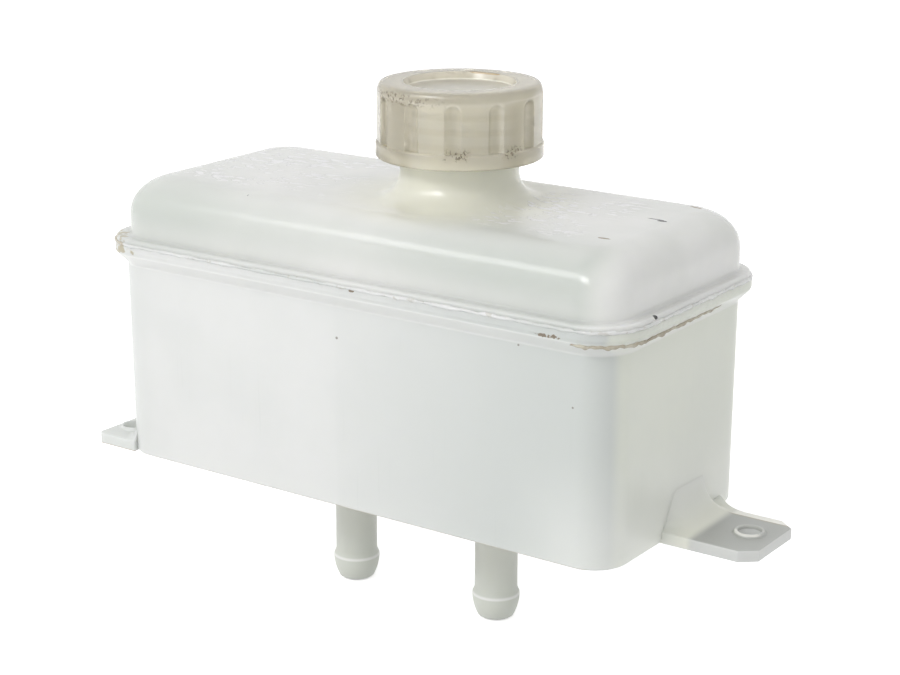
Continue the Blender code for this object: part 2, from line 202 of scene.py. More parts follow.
def vector_calc(operation, a, b=(0, 0, 0)):
    """One Vector Math node: its length, or else its vector."""
    node = new_node("VectorMath", a)
    node.operation = operation
    feed(node.inputs[0], a)
    feed(node.inputs[1], b)
    return node.outputs["Value" if operation == "LENGTH" else "Vector"]


def times(first, *others):
    """The product of several values."""
    for other in others:
        first = calc("MULTIPLY", first, other)
    return first


def plus(first, *others):
    """The sum of several masks, held at full where it would pass it."""
    for other in others:
        first = calc("ADD", first, other, clamp=True)
    return first


def span(value, low, high, out_low=0.0, out_high=1.0):
    """A value eased from one range to another with a smooth step."""
    node = new_node("MapRange", value)
    node.interpolation_type = "SMOOTHSTEP"
    sources = (value, low, high, out_low, out_high)
    for name, source in zip(("Value", "From Min", "From Max", "To Min", "To Max"), sources):
        feed(node.inputs[name], source)
    return node.outputs["Result"]


def ramp(value, low, high, *to):
    """A smooth step between two places on an axis, given in millimetres."""
    return span(value, low * MM, high * MM, *to)


def band(value, rise, fall):
    """A smooth step up and another down along an axis, each from and to a place in millimetres."""
    return times(ramp(value, *rise), ramp(value, *fall))


def blend_colour(share, a, b):
    """One Mix node on colours."""
    node = new_node("Mix", share)
    node.data_type = "RGBA"
    for socket, source in ((0, share), (6, a), (7, b)):
        feed(node.inputs[socket], source)
    return node.outputs[2]


def noise(place, scale, detail=2.0, stretch=None):
    """A noise value at Object coordinates, with the pattern stretched by a Mapping node if asked."""
    if stretch:
        mapping = new_node("Mapping", place)
        feed(mapping.inputs["Vector"], place)
        feed(mapping.inputs["Scale"], stretch)
        place = mapping.outputs["Vector"]
    node = new_node("TexNoise", place)
    for name, source in (("Vector", place), ("Scale", scale), ("Detail", detail)):
        feed(node.inputs[name], source)
    return node.outputs["Fac"]


def axes(place):
    """The three coordinates of the place."""
    node = new_node("SeparateXYZ", place)
    feed(node.inputs["Vector"], place)
    return node.outputs


def make_milky_clouding():
    """Cloudy depth of unfilled plastic, hair-fine upright scratches and a slight waviness."""
    group, start, end = new_group(
        "milky_clouding",
        [("Place", "Vector"), ("Light", "Color"), ("Deep", "Color"), ("Cloud", "Float", 0.5),
         ("Scratch", "Float", 0.3), ("Roughness", "Float", 0.4)],
        [("Colour", "Color"), ("Roughness", "Float"), ("Height", "Float")])
    given = start.outputs
    place = given["Place"]
    fine = calc("SUBTRACT", noise(place, 260.0, 2.0), 0.5)
    broad = span(noise(place, 28.0, 3.0), 0.35, 0.68)
    cloud = plus(times(broad, given["Cloud"]), times(fine, 0.06))
    hair = span(noise(place, 1.0, 2.0, (1100.0, 1100.0, 20.0)), 0.62, 0.80)
    gate = span(noise(place, 55.0, 1.0), 0.45, 0.62)
    scratch = times(hair, gate, given["Scratch"], 0.20)
    colour = blend_colour(cloud, given["Light"], given["Deep"])
    colour = blend_colour(scratch, colour, SCRATCH_TINT)
    rough = calc("ADD", given["Roughness"], times(fine, 0.10))
    wave = calc("ADD", noise(place, 40.0, 1.0), times(noise(place, 120.0, 1.0), 0.3))
    for name, source in (("Colour", colour), ("Roughness", rough), ("Height", wave)):
        group.links.new(source, end.inputs[name])
    return group


def make_dirt_patch():
    """A patch of stuck dirt: an ellipsoid about a centre, eaten into by noise of a given grain."""
    group, start, end = new_group(
        "dirt_patch",
        [("Place", "Vector"), ("Centre", "Vector"), ("Reach", "Vector", (0.01, 0.01, 0.01)),
         ("Grain", "Float", 600.0), ("Cover", "Float", 0.5)],
        [("Mask", "Float")])
    given = start.outputs
    away = vector_calc("SUBTRACT", given["Place"], given["Centre"])
    away = vector_calc("DIVIDE", away, given["Reach"])
    near = span(vector_calc("LENGTH", away), 1.0, 0.35)
    level = calc("SUBTRACT", 0.78, times(near, given["Cover"], 0.6))
    grain = noise(given["Place"], given["Grain"], 3.0)
    eaten = span(calc("SUBTRACT", grain, level), -0.03, 0.06)
    group.links.new(times(eaten, span(near, 0.0, 0.25)), end.inputs["Mask"])
    return group


milky_clouding = make_milky_clouding()
dirt_patch = make_dirt_patch()


def start_plastic(name, see_through, scatter):
    """A new material with its Principled shader's plain values, and the object's coordinates."""
    material = bpy.data.materials.new(name)
    material.use_nodes = True
    nodes = material.node_tree.nodes
    for socket, value in (("Transmission Weight", see_through), ("Subsurface Weight", scatter),
                          ("Subsurface Radius", (1.0, 1.0, 0.9)), ("Subsurface Scale", 0.005), ("IOR", 1.49)):
        nodes["Principled BSDF"].inputs[socket].default_value = value
    return material, nodes.new("ShaderNodeTexCoord").outputs["Object"]


def place_group(group, *sources):
    """Places a node group with its inputs in order."""
    node = new_node("Group", *sources)
    node.node_tree = group
    for socket, source in zip(node.inputs, sources):
        feed(socket, source)
    return node.outputs


def add_dirt(place, colour, patches, tint):
    """Lays dirt patches, each (centre, reach, grain, cover), over a colour."""
    for centre, reach, grain, cover in patches:
        centre, reach = ([a * MM for a in point] for point in (centre, reach))
        mask = place_group(dirt_patch, place, centre, reach, grain, cover)["Mask"]
        colour = blend_colour(mask, colour, tint)
    return colour


def finish_plastic(material, colour, cloud, depth, *relief):
    """Feeds the shader its colour, the clouding's roughness, and a bump of the given depth in metres
    from the clouding's waves with any further relief added."""
    shader = material.node_tree.nodes["Principled BSDF"]
    height = cloud["Height"]
    for more in relief:
        height = calc("ADD", height, more)
    bump = new_node("Bump", height)
    for socket, source in ((bump.inputs["Strength"], 0.6), (bump.inputs["Distance"], depth),
                           (bump.inputs["Height"], height), (shader.inputs["Base Color"], colour),
                           (shader.inputs["Roughness"], cloud["Roughness"]),
                           (shader.inputs["Normal"], bump.outputs["Normal"])):
        feed(socket, source)
    return material


def paint_tub():
    """Milky wall: palest in the far chamber, with painted shade towards the near corner and a step where
    the partition shows through, warmer on the near end, painted light under the flange, stains at the far
    corner, dirt under the flange and a painted brownish shade along the bottom edge."""
    material, place = start_plastic("tub_plastic", 0.08, 0.5)
    x, y, z = axes(place)
    # Painted shade: darker to the right and towards the near corner, where the lamps from the left fall off,
    # with a slight step where the partition shows through the wall, and darker again at the far corner.
    painted_shade = plus(times(ramp(x, -25, 72), 0.85), ramp(x, -3.6, -1.6, 0.0, 0.07))
    far_end = times(ramp(x, -66, -81), 0.5)
    light = blend_colour(plus(painted_shade, far_end), TUB_TINT, TUB_SHADE_AND_CLOUD_TINT)
    light = blend_colour(ramp(x, 79.5, 81.6), light, END_TINT)
    low = times(ramp(z, 34, 2, 0.0, 0.45), ramp(x, 48, 74))
    light = blend_colour(low, light, LOW_TINT)
    # Painted light over the flange's underside and edge, so that the shade under the flange does not show.
    light = blend_colour(band(z, (55.9, 56.6), (60.5, 60.0, 0.0, 0.5)), light, FLANGE_UNDERSIDE_LIGHT_TINT)
    cloud = place_group(milky_clouding, place, light, TUB_SHADE_AND_CLOUD_TINT, 0.18, 0.6, 0.34)
    colour = cloud["Colour"]
    for patches, tint in ((TUB_STAINS, STAIN_TINT), (TUB_DIRT, DIRT_TINT), (TUB_SPECKS, SPECK_TINT)):
        colour = add_dirt(place, colour, patches, tint)
    # A painted brownish shade along the bottom front edge, where it turns under.
    edge = times(ramp(z, 0.55, 0.15), ramp(y, -35, -35.6), 0.75)
    colour = blend_colour(edge, colour, BOTTOM_EDGE_SHADE_TINT)
    crinkle = times(noise(place, 420.0, 2.0), ramp(z, 60.4, 61.2, 0.0, 2.4))
    return finish_plastic(material, colour, cloud, 0.0003, crinkle)


tub_paint = paint_tub()
rim = TUB_DRAFT + FLANGE_OVERHANG
root = FLANGE_ROOT_RADIUS
bend = FLANGE_EDGE_RADIUS
lip = FLANGE_LIP_RADIUS
root_z = TUB_HEIGHT - FLANGE_TAPER - FLANGE_ROOT_RISE
inner_floor = FLOOR_INNER_RADIUS
section = np.concatenate([
    arc_points((-FLOOR_EDGE_RADIUS, FLOOR_EDGE_RADIUS), FLOOR_EDGE_RADIUS, -90, 0, 6),
    run_points((0, FLOOR_EDGE_RADIUS), (TUB_DRAFT, root_z), WALL_STEPS),
    arc_points((TUB_DRAFT + root, root_z), root, 180, 135, 4),
    arc_points((rim - bend, TUB_HEIGHT + bend), bend, -45, 0, 5),
    arc_points((rim - lip, TUB_TOP_Z - lip), lip, 0, 90, 4),
    [(TUB_DRAFT - TUB_WALL, TUB_TOP_Z)],
    run_points((TUB_DRAFT - TUB_WALL, TUB_TOP_Z), (-TUB_WALL, TUB_WALL + inner_floor), 12),
    arc_points((-TUB_WALL - inner_floor, TUB_WALL + inner_floor), inner_floor, 0, -90, 5),
])
tub_rings = plan_rings(section[:, 0], section[:, 1], CORNER_RADIUS + section[:, 0])
tub_moulding = skin_mesh("tub_moulding", tub_rings)
finish_piece(tub_moulding, tub_paint, "reservoir")
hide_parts("tub")

# Partition between the two chambers.
# A thin wall moulded in one with the tub. It stops short of the flange, so that the two brake
# circuits share the reserve above it.
PARTITION_X = -1.4
PARTITION_THICKNESS = 2.0
PARTITION_HEIGHT = 50.0
PARTITION_EDGE = 0.5


def sheet_rings(x, half_thickness, half_y, low, high, edge):
    """A flat wall across the tub: rectangles in y and z, drawn in by the edge radius at both faces."""
    flat = half_thickness - edge
    sides = np.array([(-half_thickness, edge), (-flat, 0), (flat, 0), (half_thickness, edge)])
    depth, inset = sides[:, :1], sides[:, 1:]
    y = np.array([[-half_y, half_y, half_y, -half_y]]) + 0 * depth
    z = np.where(np.array([[0, 0, 1, 1]]) > 0, high - inset, low)
    return np.stack([x + depth + 0 * y, y, z], -1)


wall_rings = sheet_rings(PARTITION_X, PARTITION_THICKNESS / 2, HALF_WIDTH - TUB_WALL / 2, TUB_WALL / 2,
                         PARTITION_HEIGHT, PARTITION_EDGE)
partition = skin_mesh("partition", wall_rings)
finish_piece(partition, tub_paint, "reservoir")

# Hose spigots.
# Two straight tubes moulded under the tub, one to each chamber, with a bead near the end that
# holds the pushed-on hose and its clip.
SPIGOT_XS = (-24.1, 25.0)
SPIGOT_LENGTH = 37.5
SPIGOT_RADIUS = 6.0
SPIGOT_BORE_RADIUS = 4.0
SPIGOT_ROOT_RADIUS = 1.5
BEAD_RADIUS = 6.7
BEAD_HEIGHT = 6.9
BEAD_RISE = 1.6
TIP_RADIUS = 4.9
TIP_EDGE = 0.4
BORE_EDGE = 0.3
SPIGOT_AROUND = 72
SPIGOT_TINT = (0.790, 0.790, 0.700)
SPIGOT_DEEP_TINT = (0.685, 0.705, 0.640)
BEAD_HIGHLIGHT_TINT = (0.95, 0.95, 0.92)


def even_turn(count):
    """Equal angles once round, without the last."""
    return np.linspace(0, 2 * math.pi, count, endpoint=False)


def turned_rings(profile, centre_x, angle):
    """A profile of (radius, z) points turned about the upright axis at centre_x: x is the centre plus
    radius times cosine, and y is radius times sine, at each of the given angles."""
    profile = np.asarray(profile, float)
    x = centre_x + profile[:, :1] * np.cos(angle)[None]
    y = profile[:, :1] * np.sin(angle)[None]
    return np.stack([x, y, np.broadcast_to(profile[:, 1:], x.shape)], -1)


def paint_spigot():
    """The same plastic where it is thick: greyer and warmer, with a painted highlight along the bead's ridge.
    """
    material, place = start_plastic("spigot_plastic", 0.08, 0.5)
    z = axes(place)["Z"]
    light = blend_colour(ramp(z, -34, 0.0), SPIGOT_DEEP_TINT, SPIGOT_TINT)
    cloud = place_group(milky_clouding, place, light, SPIGOT_DEEP_TINT, 0.3, 0.3, 0.40)
    # A painted highlight along the bead's ridge.
    line = times(band(z, (-31.2, -30.6), (-29.9, -30.5)), 0.8)
    colour = blend_colour(line, cloud["Colour"], BEAD_HIGHLIGHT_TINT)
    return finish_plastic(material, colour, cloud, 0.00025)


bead_z = BEAD_HEIGHT - SPIGOT_LENGTH
bead_nose = BEAD_RADIUS - TIP_RADIUS
bead_bulge = (bead_nose ** 2 + BEAD_HEIGHT ** 2) / (2 * bead_nose)
bead_sweep = math.degrees(math.asin(BEAD_HEIGHT / bead_bulge))
bead_top = bead_z + BEAD_RISE
bore_floor = TUB_WALL + 0.05
spigot_section = np.concatenate([
    [(SPIGOT_RADIUS + SPIGOT_ROOT_RADIUS, TUB_WALL / 2)],
    arc_points((SPIGOT_RADIUS + SPIGOT_ROOT_RADIUS, -SPIGOT_ROOT_RADIUS), SPIGOT_ROOT_RADIUS, 90, 180, 6),
    run_points((SPIGOT_RADIUS, -SPIGOT_ROOT_RADIUS), (SPIGOT_RADIUS, bead_top), 12),
    [(SPIGOT_RADIUS + 0.03, bead_top + 0.2), (SPIGOT_RADIUS + 0.12, bead_top - 0.25)],
    [(BEAD_RADIUS - 0.12, bead_z + 0.25)],
    arc_points((BEAD_RADIUS - bead_bulge, bead_z), bead_bulge, 0, -bead_sweep + 2, 12),
    arc_points((TIP_RADIUS - 0.5, -SPIGOT_LENGTH + TIP_EDGE), TIP_EDGE, -30, -90, 3),
    arc_points((SPIGOT_BORE_RADIUS + BORE_EDGE, -SPIGOT_LENGTH + BORE_EDGE), BORE_EDGE, 270, 180, 3),
    run_points((SPIGOT_BORE_RADIUS, -SPIGOT_LENGTH), (SPIGOT_BORE_RADIUS, bore_floor), 10),
    [(SPIGOT_BORE_RADIUS, bore_floor), (SPIGOT_RADIUS, bore_floor)],
])
spigot_paint = paint_spigot()
for name, x in zip(("rear_spigot", "front_spigot"), SPIGOT_XS):
    spigot = skin_mesh(name, turned_rings(spigot_section, x, even_turn(SPIGOT_AROUND)), loop=True)
    finish_piece(spigot, spigot_paint, "reservoir", sharp=60)

# Fixing ears.
# Two flat plates moulded flush with the tub's underside: a wide one on the near end with a large
# hollow root, and a short lug at the far end's front corner. Each has a hole with a raised rim.
EAR_THICKNESS = 3.2
EAR_EDGE_RADIUS = 0.35
FIXING_HOLE_RADIUS = 3.15
EYELET_RADIUS = 4.2
EYELET_HEIGHT = 0.9
EAR_AROUND = 360
EAR_TOP_RINGS = 46
WIDE_EAR = {"end_x": 107.9, "low_y": -8.7, "high_y": 16.7, "cut": (4.3, 3.5),
            "hole": (100.5, 4.0), "root": 9.5, "root_x": 80.4, "flare": 12.0,
            "taper": 7.0, "rear_taper": 4.0}
SHORT_LUG = {"end_x": -91.9, "low_y": -35.75, "high_y": -12.75, "cut": (1.2, 1.2),
             "hole": (-86.3, -26.15), "root": 3.0, "root_x": -77.5, "flare": 3.0,
             "taper": 1.0, "rear_taper": 1.0}
EAR_TINT = (0.422, 0.430, 0.412)
EAR_ROOT_TINT = (0.775, 0.780, 0.705)
EAR_HOLLOW_LIGHT_TINT = (0.780, 0.795, 0.735)
EAR_STRIP_AND_HIGHLIGHT_TINT = (0.900, 0.890, 0.830)
EAR_EDGE_TINT = (0.74, 0.75, 0.74)
EAR_LINE_TINT = (0.46, 0.38, 0.30)
EAR_STRIP_Y = 13.6


def wall_distance(x, y):
    """How far a plan point lies outside the housing's rounded rectangle at the floor."""
    qx = np.abs(x) - (HALF_LENGTH - CORNER_RADIUS)
    qy = np.abs(y) - (HALF_WIDTH - CORNER_RADIUS)
    outside = np.hypot(np.maximum(qx, 0), np.maximum(qy, 0))
    return outside + np.minimum(np.maximum(qx, qy), 0) - CORNER_RADIUS


def hollow(distance, radius):
    """Rise of a hollow root of the given radius at a distance from the wall: a quarter circle that is
    level at one radius away and upright at the wall."""
    near = np.clip(radius - distance, 0, radius)
    return radius - np.sqrt(radius ** 2 - near ** 2)


def outside_ear(ear, x, y):
    """Positive outside an ear's outline: the largest of its distances past the end, the sides, the cut
    corners and the hidden root. The rear side runs out towards the wall in a hollow curve."""
    way = math.copysign(1, ear["end_x"])
    past_end = way * (x - ear["end_x"])
    past_low = ear["low_y"] - y
    past_high = y - ear["high_y"] - hollow(wall_distance(x, y), ear["flare"])
    cut_x, cut_y = ear["cut"]
    slant = math.hypot(1 / cut_x, 1 / cut_y)
    past_cuts = [((past_end + cut_x) / cut_x + (past + cut_y) / cut_y - 1) / slant
                 for past in (past_low, past_high)]
    past_root = way * (ear["root_x"] - x)
    return np.max([past_end, past_low, past_high, *past_cuts, past_root], 0)


def ear_reach(ear, angle):
    """Distance from the hole's centre to the outline along each angle: fine steps out to the first
    point outside it, and a straight line between the two last steps."""
    step = 0.1
    radius = np.arange(EYELET_RADIUS, 40, step)[:, None]
    out = outside_ear(ear, ear["hole"][0] + radius * np.cos(angle), ear["hole"][1] + radius * np.sin(angle))
    first = np.argmax(out > 0, 0)
    last_in, first_out = (np.take_along_axis(out, first[None] - k, 0)[0] for k in (1, 0))
    return radius[first, 0] - step * first_out / (first_out - last_in)


def ear_top(ear, x, y):
    """Height of an ear's top face: its thickness plus the hollow root, which fades in from both sides
    over their tapers and runs out level with the drafted wall at its own height."""
    away = wall_distance(x, y)
    front = np.clip((y - ear["low_y"]) / ear["taper"], 0, 1)
    rear = np.clip((ear["high_y"] - y) / ear["rear_taper"], 0, 1)
    share = front ** 2 * (3 - 2 * front) * rear ** 2 * (3 - 2 * rear)
    leaning = TUB_DRAFT * (EAR_THICKNESS + ear["root"] * share) / TUB_HEIGHT
    return EAR_THICKNESS + hollow(away - leaning, ear["root"]) * share


def even_radii(ear, angle, start, end, count):
    """Radii along each ray at equal lengths of the top face's profile, so that the upright end of the
    root gets as many rings as the level plate."""
    share = np.linspace(0, 1, 300)[:, None]
    radius = start * (1 - share) + end[None] * share
    z = ear_top(ear, ear["hole"][0] + radius * np.cos(angle), ear["hole"][1] + radius * np.sin(angle))
    length = np.cumsum(np.hypot(np.diff(radius, axis=0), np.diff(z, axis=0)), 0)
    length = np.concatenate([np.zeros((1, len(angle))), length / length[-1]])
    ray = 2.0 * np.arange(len(angle))[None]
    wanted = np.linspace(0, 1, count)[:, None] + ray
    radii = np.interp(wanted.T.ravel(), (length + ray).T.ravel(), radius.T.ravel())
    return radii.reshape(len(angle), count).T


def ear_rings(ear):
    """Rings round the fixing hole: up the hole, over the raised rim, out across the top face to the
    rounded edge, down it and back along the underside."""
    centre = np.array(ear["hole"])
    way = math.copysign(1, ear["end_x"])
    angle = even_turn(EAR_AROUND)
    cut_x, cut_y = ear["cut"]
    corners = np.array([(ear["end_x"] - way * cut_x, ear["low_y"]), (ear["end_x"], ear["low_y"] + cut_y),
                        (ear["end_x"], ear["high_y"] - cut_y), (ear["end_x"] - way * cut_x, ear["high_y"])])
    corner_angles = np.arctan2(*(corners - centre).T[::-1]) % (2 * math.pi)
    angle[np.abs(angle[:, None] - corner_angles[None]).argmin(0)] = corner_angles
    reach = ear_reach(ear, angle)
    edge, hole, top = EAR_EDGE_RADIUS, FIXING_HOLE_RADIUS, EAR_THICKNESS
    rim_turn = np.radians(np.linspace(180, 0, 9))
    rim_middle = (hole + EYELET_RADIUS) / 2 - 0.12
    rim_radii = rim_middle + (rim_middle - hole) * np.cos(rim_turn)
    inner_radii = np.concatenate([[hole + 0.3, hole, hole], rim_radii, [EYELET_RADIUS - 0.05]])
    inner_z = np.concatenate([[0, 0.3, top], top + EYELET_HEIGHT * (0.7 + 0.3 * np.sin(rim_turn)),
                              [top + 0.15]])
    top_radii = even_radii(ear, angle, EYELET_RADIUS + 0.2, reach - edge, EAR_TOP_RINGS)
    over = np.radians(np.linspace(75, 0, 5))[:, None]
    under = np.radians(np.linspace(0, -90, 5))[:, None]
    radii = np.concatenate([inner_radii[:, None] + 0 * angle, top_radii, reach - edge + edge * np.cos(over),
                            reach - edge + edge * np.cos(under)])
    x = centre[0] + radii * np.cos(angle)
    y = centre[1] + radii * np.sin(angle)
    face = ear_top(ear, x, y)
    rows = [len(inner_z), EAR_TOP_RINGS, len(over)]
    z = np.concatenate([inner_z[:, None] + 0 * angle, face[rows[0]:rows[0] + rows[1]],
                        face[rows[0] + rows[1]:sum(rows)] - edge + edge * np.sin(over),
                        edge + edge * np.sin(under) + 0 * angle])
    return np.stack([x, y, z], -1)


def paint_ear():
    """Clear grey on the thin plate and cream on its root, lighter next to the wall as painted light in the
    hollow where the root meets it, with a pale strip and a fine brown line along the rear edge and a painted
    highlight on the front half of the hole's raised rim."""
    material, place = start_plastic("ear_plastic", 0.08, 0.35)
    x, y, z = axes(place)
    out = ramp(x, 88.5, 91.5)
    # Painted light: the root is lighter next to the wall, so that the hollow where it meets the wall does not
    # look shaded.
    light = blend_colour(ramp(x, 82.5, 88), EAR_HOLLOW_LIGHT_TINT, EAR_ROOT_TINT)
    light = blend_colour(out, light, EAR_TINT)
    cloud = place_group(milky_clouding, place, light, TUB_SHADE_AND_CLOUD_TINT, 0.10, 0.0, 0.33)
    upper = ramp(z, 3.0, 3.15)
    lower = times(calc("SUBTRACT", 1.0, upper), out, 0.6)
    colour = blend_colour(lower, cloud["Colour"], EAR_EDGE_TINT)
    strip = times(ramp(y, EAR_STRIP_Y, EAR_STRIP_Y + 0.5), upper, out)
    colour = blend_colour(strip, colour, EAR_STRIP_AND_HIGHLIGHT_TINT)
    off_line = calc("ABSOLUTE", calc("SUBTRACT", y, EAR_STRIP_Y * MM))
    line = times(calc("LESS_THAN", off_line, 0.22 * MM), upper, out, 0.6)
    colour = blend_colour(line, colour, EAR_LINE_TINT)
    # A painted highlight on the front half of the hole's raised rim.
    raised = times(ramp(z, 3.4, 3.8), ramp(y, 3.4, 1.4, 0.15, 1.0), out, 0.8)
    colour = blend_colour(raised, colour, EAR_STRIP_AND_HIGHLIGHT_TINT)
    return finish_plastic(material, colour, cloud, 0.00025)


ear_paint = paint_ear()
for name, ear in (("wide_ear", WIDE_EAR), ("short_lug", SHORT_LUG)):
    plate = skin_mesh(name, ear_rings(ear), loop=True)
    finish_piece(plate, ear_paint if ear is WIDE_EAR else tub_paint, "reservoir", sharp=50)

# Cover, the upper moulding.
# A domed lid of the same plastic with a large edge radius, a flange that is welded to the tub's, and
# the filler neck, which grows out of the flat top through a hollow flare.
COVER_WALL = 2.2
COVER_FLANGE_THICKNESS = 1.5
COVER_FLANGE_STEP = 0.4
COVER_RISE = 16.4
COVER_REAR_INSET = 1.6
COVER_EDGE_RADIUS = 10.5
COVER_TOP_CORNER_RADIUS = 6.0
COVER_ARC_STEPS = 20
COVER_FOOT_RADIUS = 0.8
COVER_LIP_RADIUS = 0.9
COVER_UNDER_EDGE = 0.3
NECK_X = 12.0
NECK_RADIUS = 16.0
NECK_WALL = 2.5
NECK_HEIGHT = 25.4
NECK_FLARE_RADIUS = 7.5
NECK_LIP_RADIUS = 0.6
NECK_BORE_EDGE = 0.5
COVER_BASE_Z = TUB_TOP_Z + AIR
COVER_FLANGE_Z = COVER_BASE_Z + COVER_FLANGE_THICKNESS
COVER_TOP_Z = COVER_FLANGE_Z + COVER_RISE
LIP_Z = COVER_TOP_Z + NECK_HEIGHT
TOP_BLEND_STEPS = 10
COVER_TINT = (0.885, 0.888, 0.852)
# The deep tint is both the clouding's darker tone and the colour of the painted shade.
COVER_SHADE_AND_CLOUD_TINT = (0.655, 0.688, 0.645)
COVER_END_TINT = (0.985, 0.990, 0.940)
NECK_WARM_LIGHT_TINT = (0.995, 0.980, 0.800)
SCUFF_TINT = (1.0, 1.0, 1.0)
COVER_STAIN_TINT = (0.55, 0.51, 0.40)
COVER_BROWN_TINT = (0.30, 0.24, 0.16)
COVER_BLACK_TINT = (0.03, 0.03, 0.03)
COVER_STAINS = [((-84, -36, 64.2), (16, 10, 1.4), 520, 0.58)]
COVER_BROWN_SPOTS = [((67.8, -17.9, 81), (2.8, 0.9, 1), 900, 1), ((70.2, 25.5, 81), (2.8, 0.9, 1), 900, 1)]
COVER_BLACK_SPOTS = [((70.5, 6.6, 81), (1.8, 0.9, 1), 400, 1.8), ((68.2, 7.4, 81), (3.2, 0.45, 1), 300, 1.7),
                     ((84.6, -21, 64.2), (1.2, 1, 0.7), 100, 1.9),
                     ((76.8, -36.4, 69.9), (0.4, 1.5, 0.3), 300, 1.4),
                     ((-56, -37, 76.5), (0.4, 1.5, 0.4), 300, 1.4),
                     ((-37.1, -29, 80), (0.4, 1.5, 0.6), 300, 1.4)]


def dome_levels(wall, radius, corner):
    """Levels of the lid's rounded edge from the wall up to the flat top: a quarter circle of the edge
    radius, with the plan's corner radius going over to the flat top's own."""
    angle = np.radians(np.linspace(0, 90, COVER_ARC_STEPS + 1))
    bent, rise = 1 - np.cos(angle), 1 - np.sin(angle)
    top = COVER_TOP_Z - (COVER_EDGE_RADIUS - radius)
    plan_corner = corner * (1 - bent) + COVER_TOP_CORNER_RADIUS * bent
    return plan_rings(wall - radius * bent, top - radius * rise, plan_corner, COVER_REAR_INSET)


def blend_to_circle(edge_ring, radius, z, steps):
    """Rings between the flat top's outline and a circle round the neck: each point slides straight to
    the circle's point at its own angle about the neck's axis."""
    angle = np.arctan2(edge_ring[:, 1], edge_ring[:, 0] - NECK_X)
    circle = np.stack([NECK_X + radius * np.cos(angle), radius * np.sin(angle), np.full_like(angle, z)], -1)
    share = np.linspace(0, 1, steps + 1)[1:-1, None, None]
    return edge_ring[None] * (1 - share) + circle[None] * share, angle


def paint_cover():
    """Clearer and glossier plastic: painted shade along the bends, the near corner and the front, paler on
    the near end, warm round the neck and lightened there as painted light over the cap's shadow, with pale
    crinkled scuffs on the flat top and a few stuck specks."""
    material, place = start_plastic("cover_plastic", 0.22, 0.50)
    x, y, z = axes(place)
    # Painted shade: darker along the rounded edge's bends, at the near corner and along the front, where the
    # light falls off.
    bends = times(band(z, (66, 72), (80.9, 76)), 0.40)
    near_corner = times(ramp(x, 68, 74), ramp(y, -23, -30), 0.25)
    near_front = times(ramp(x, -10, 50), ramp(y, -12, -27), 0.60)
    far_front = times(ramp(x, -12, -62), ramp(y, -18, -30), 0.60)
    painted_shade = plus(bends, near_corner, near_front, far_front)
    light = blend_colour(painted_shade, COVER_TINT, COVER_SHADE_AND_CLOUD_TINT)
    light = blend_colour(ramp(x, 71, 80, 0.0, 0.9), light, COVER_END_TINT)
    ring = new_node("CombineXYZ", x)
    feed(ring.inputs["X"], calc("SUBTRACT", x, NECK_X * MM))
    feed(ring.inputs["Y"], y)
    from_axis = vector_calc("LENGTH", ring.outputs["Vector"])
    # Warm round the neck, and lightened there as painted light over the shadow that the cap casts on the
    # flare.
    warm = times(ramp(from_axis, 40, 18), ramp(z, 78, 81), 0.9)
    light = blend_colour(warm, light, NECK_WARM_LIGHT_TINT)
    cloud = place_group(milky_clouding, place, light, COVER_SHADE_AND_CLOUD_TINT, 0.35, 0.0, 0.22)
    fleck = span(noise(place, 1.0, 4.0, (240.0, 500.0, 460.0)), 0.53, 0.60)
    halves = plus(band(x, (26, 34), (64, 54)), band(x, (-12, -26), (-76, -66)))
    worn = times(halves, ramp(calc("ABSOLUTE", y), 25, 19))
    flat = band(z, (80.5, 80.95), (83, 81.5))
    patch = times(span(noise(place, 60.0, 1.0), 0.33, 0.50), times(flat, worn))
    scuffed = times(fleck, patch)
    colour = blend_colour(times(scuffed, 0.95), cloud["Colour"], SCUFF_TINT)
    for patches, tint in ((COVER_STAINS, COVER_STAIN_TINT), (COVER_BROWN_SPOTS, COVER_BROWN_TINT),
                          (COVER_BLACK_SPOTS, COVER_BLACK_TINT)):
        colour = add_dirt(place, colour, patches, tint)
    crinkle = times(noise(place, 420.0, 2.0), ramp(z, 65.2, 64.6, 0.0, 0.5))
    return finish_plastic(material, colour, cloud, 0.0004, times(scuffed, 0.5), crinkle)


cover_paint = paint_cover()
wall = TUB_DRAFT
cover_rim = wall + FLANGE_OVERHANG - COVER_FLANGE_STEP
under = COVER_UNDER_EDGE
foot_bend = COVER_LIP_RADIUS
foot = np.concatenate([
    arc_points((cover_rim - under, COVER_BASE_Z + under), under, -90, 0, 3),
    arc_points((cover_rim - foot_bend, COVER_FLANGE_Z - foot_bend), foot_bend, 0, 90, 6),
])
foot_rings = plan_rings(foot[:, 0], foot[:, 1], CORNER_RADIUS + foot[:, 0])
heel_bend = COVER_FOOT_RADIUS
heel = arc_points((wall + heel_bend, COVER_FLANGE_Z + heel_bend), heel_bend, 270, 180, 5)
heel_rings = plan_rings(heel[:, 0], heel[:, 1], CORNER_RADIUS + heel[:, 0], COVER_REAR_INSET)
outer_dome = dome_levels(wall, COVER_EDGE_RADIUS, CORNER_RADIUS + wall)
inner_dome = dome_levels(wall - COVER_WALL, COVER_EDGE_RADIUS - COVER_WALL, CORNER_RADIUS + wall - COVER_WALL)
reach = NECK_RADIUS + NECK_FLARE_RADIUS
bore = NECK_RADIUS - NECK_WALL
inner_flare = NECK_FLARE_RADIUS + COVER_WALL
outer_flat, turn = blend_to_circle(outer_dome[-1], reach, COVER_TOP_Z, TOP_BLEND_STEPS)
inner_top_z = COVER_TOP_Z - COVER_WALL
inner_flat, inner_turn = blend_to_circle(inner_dome[-1], bore + inner_flare, inner_top_z, TOP_BLEND_STEPS)
flare_z = COVER_TOP_Z + NECK_FLARE_RADIUS
neck_lip = NECK_LIP_RADIUS
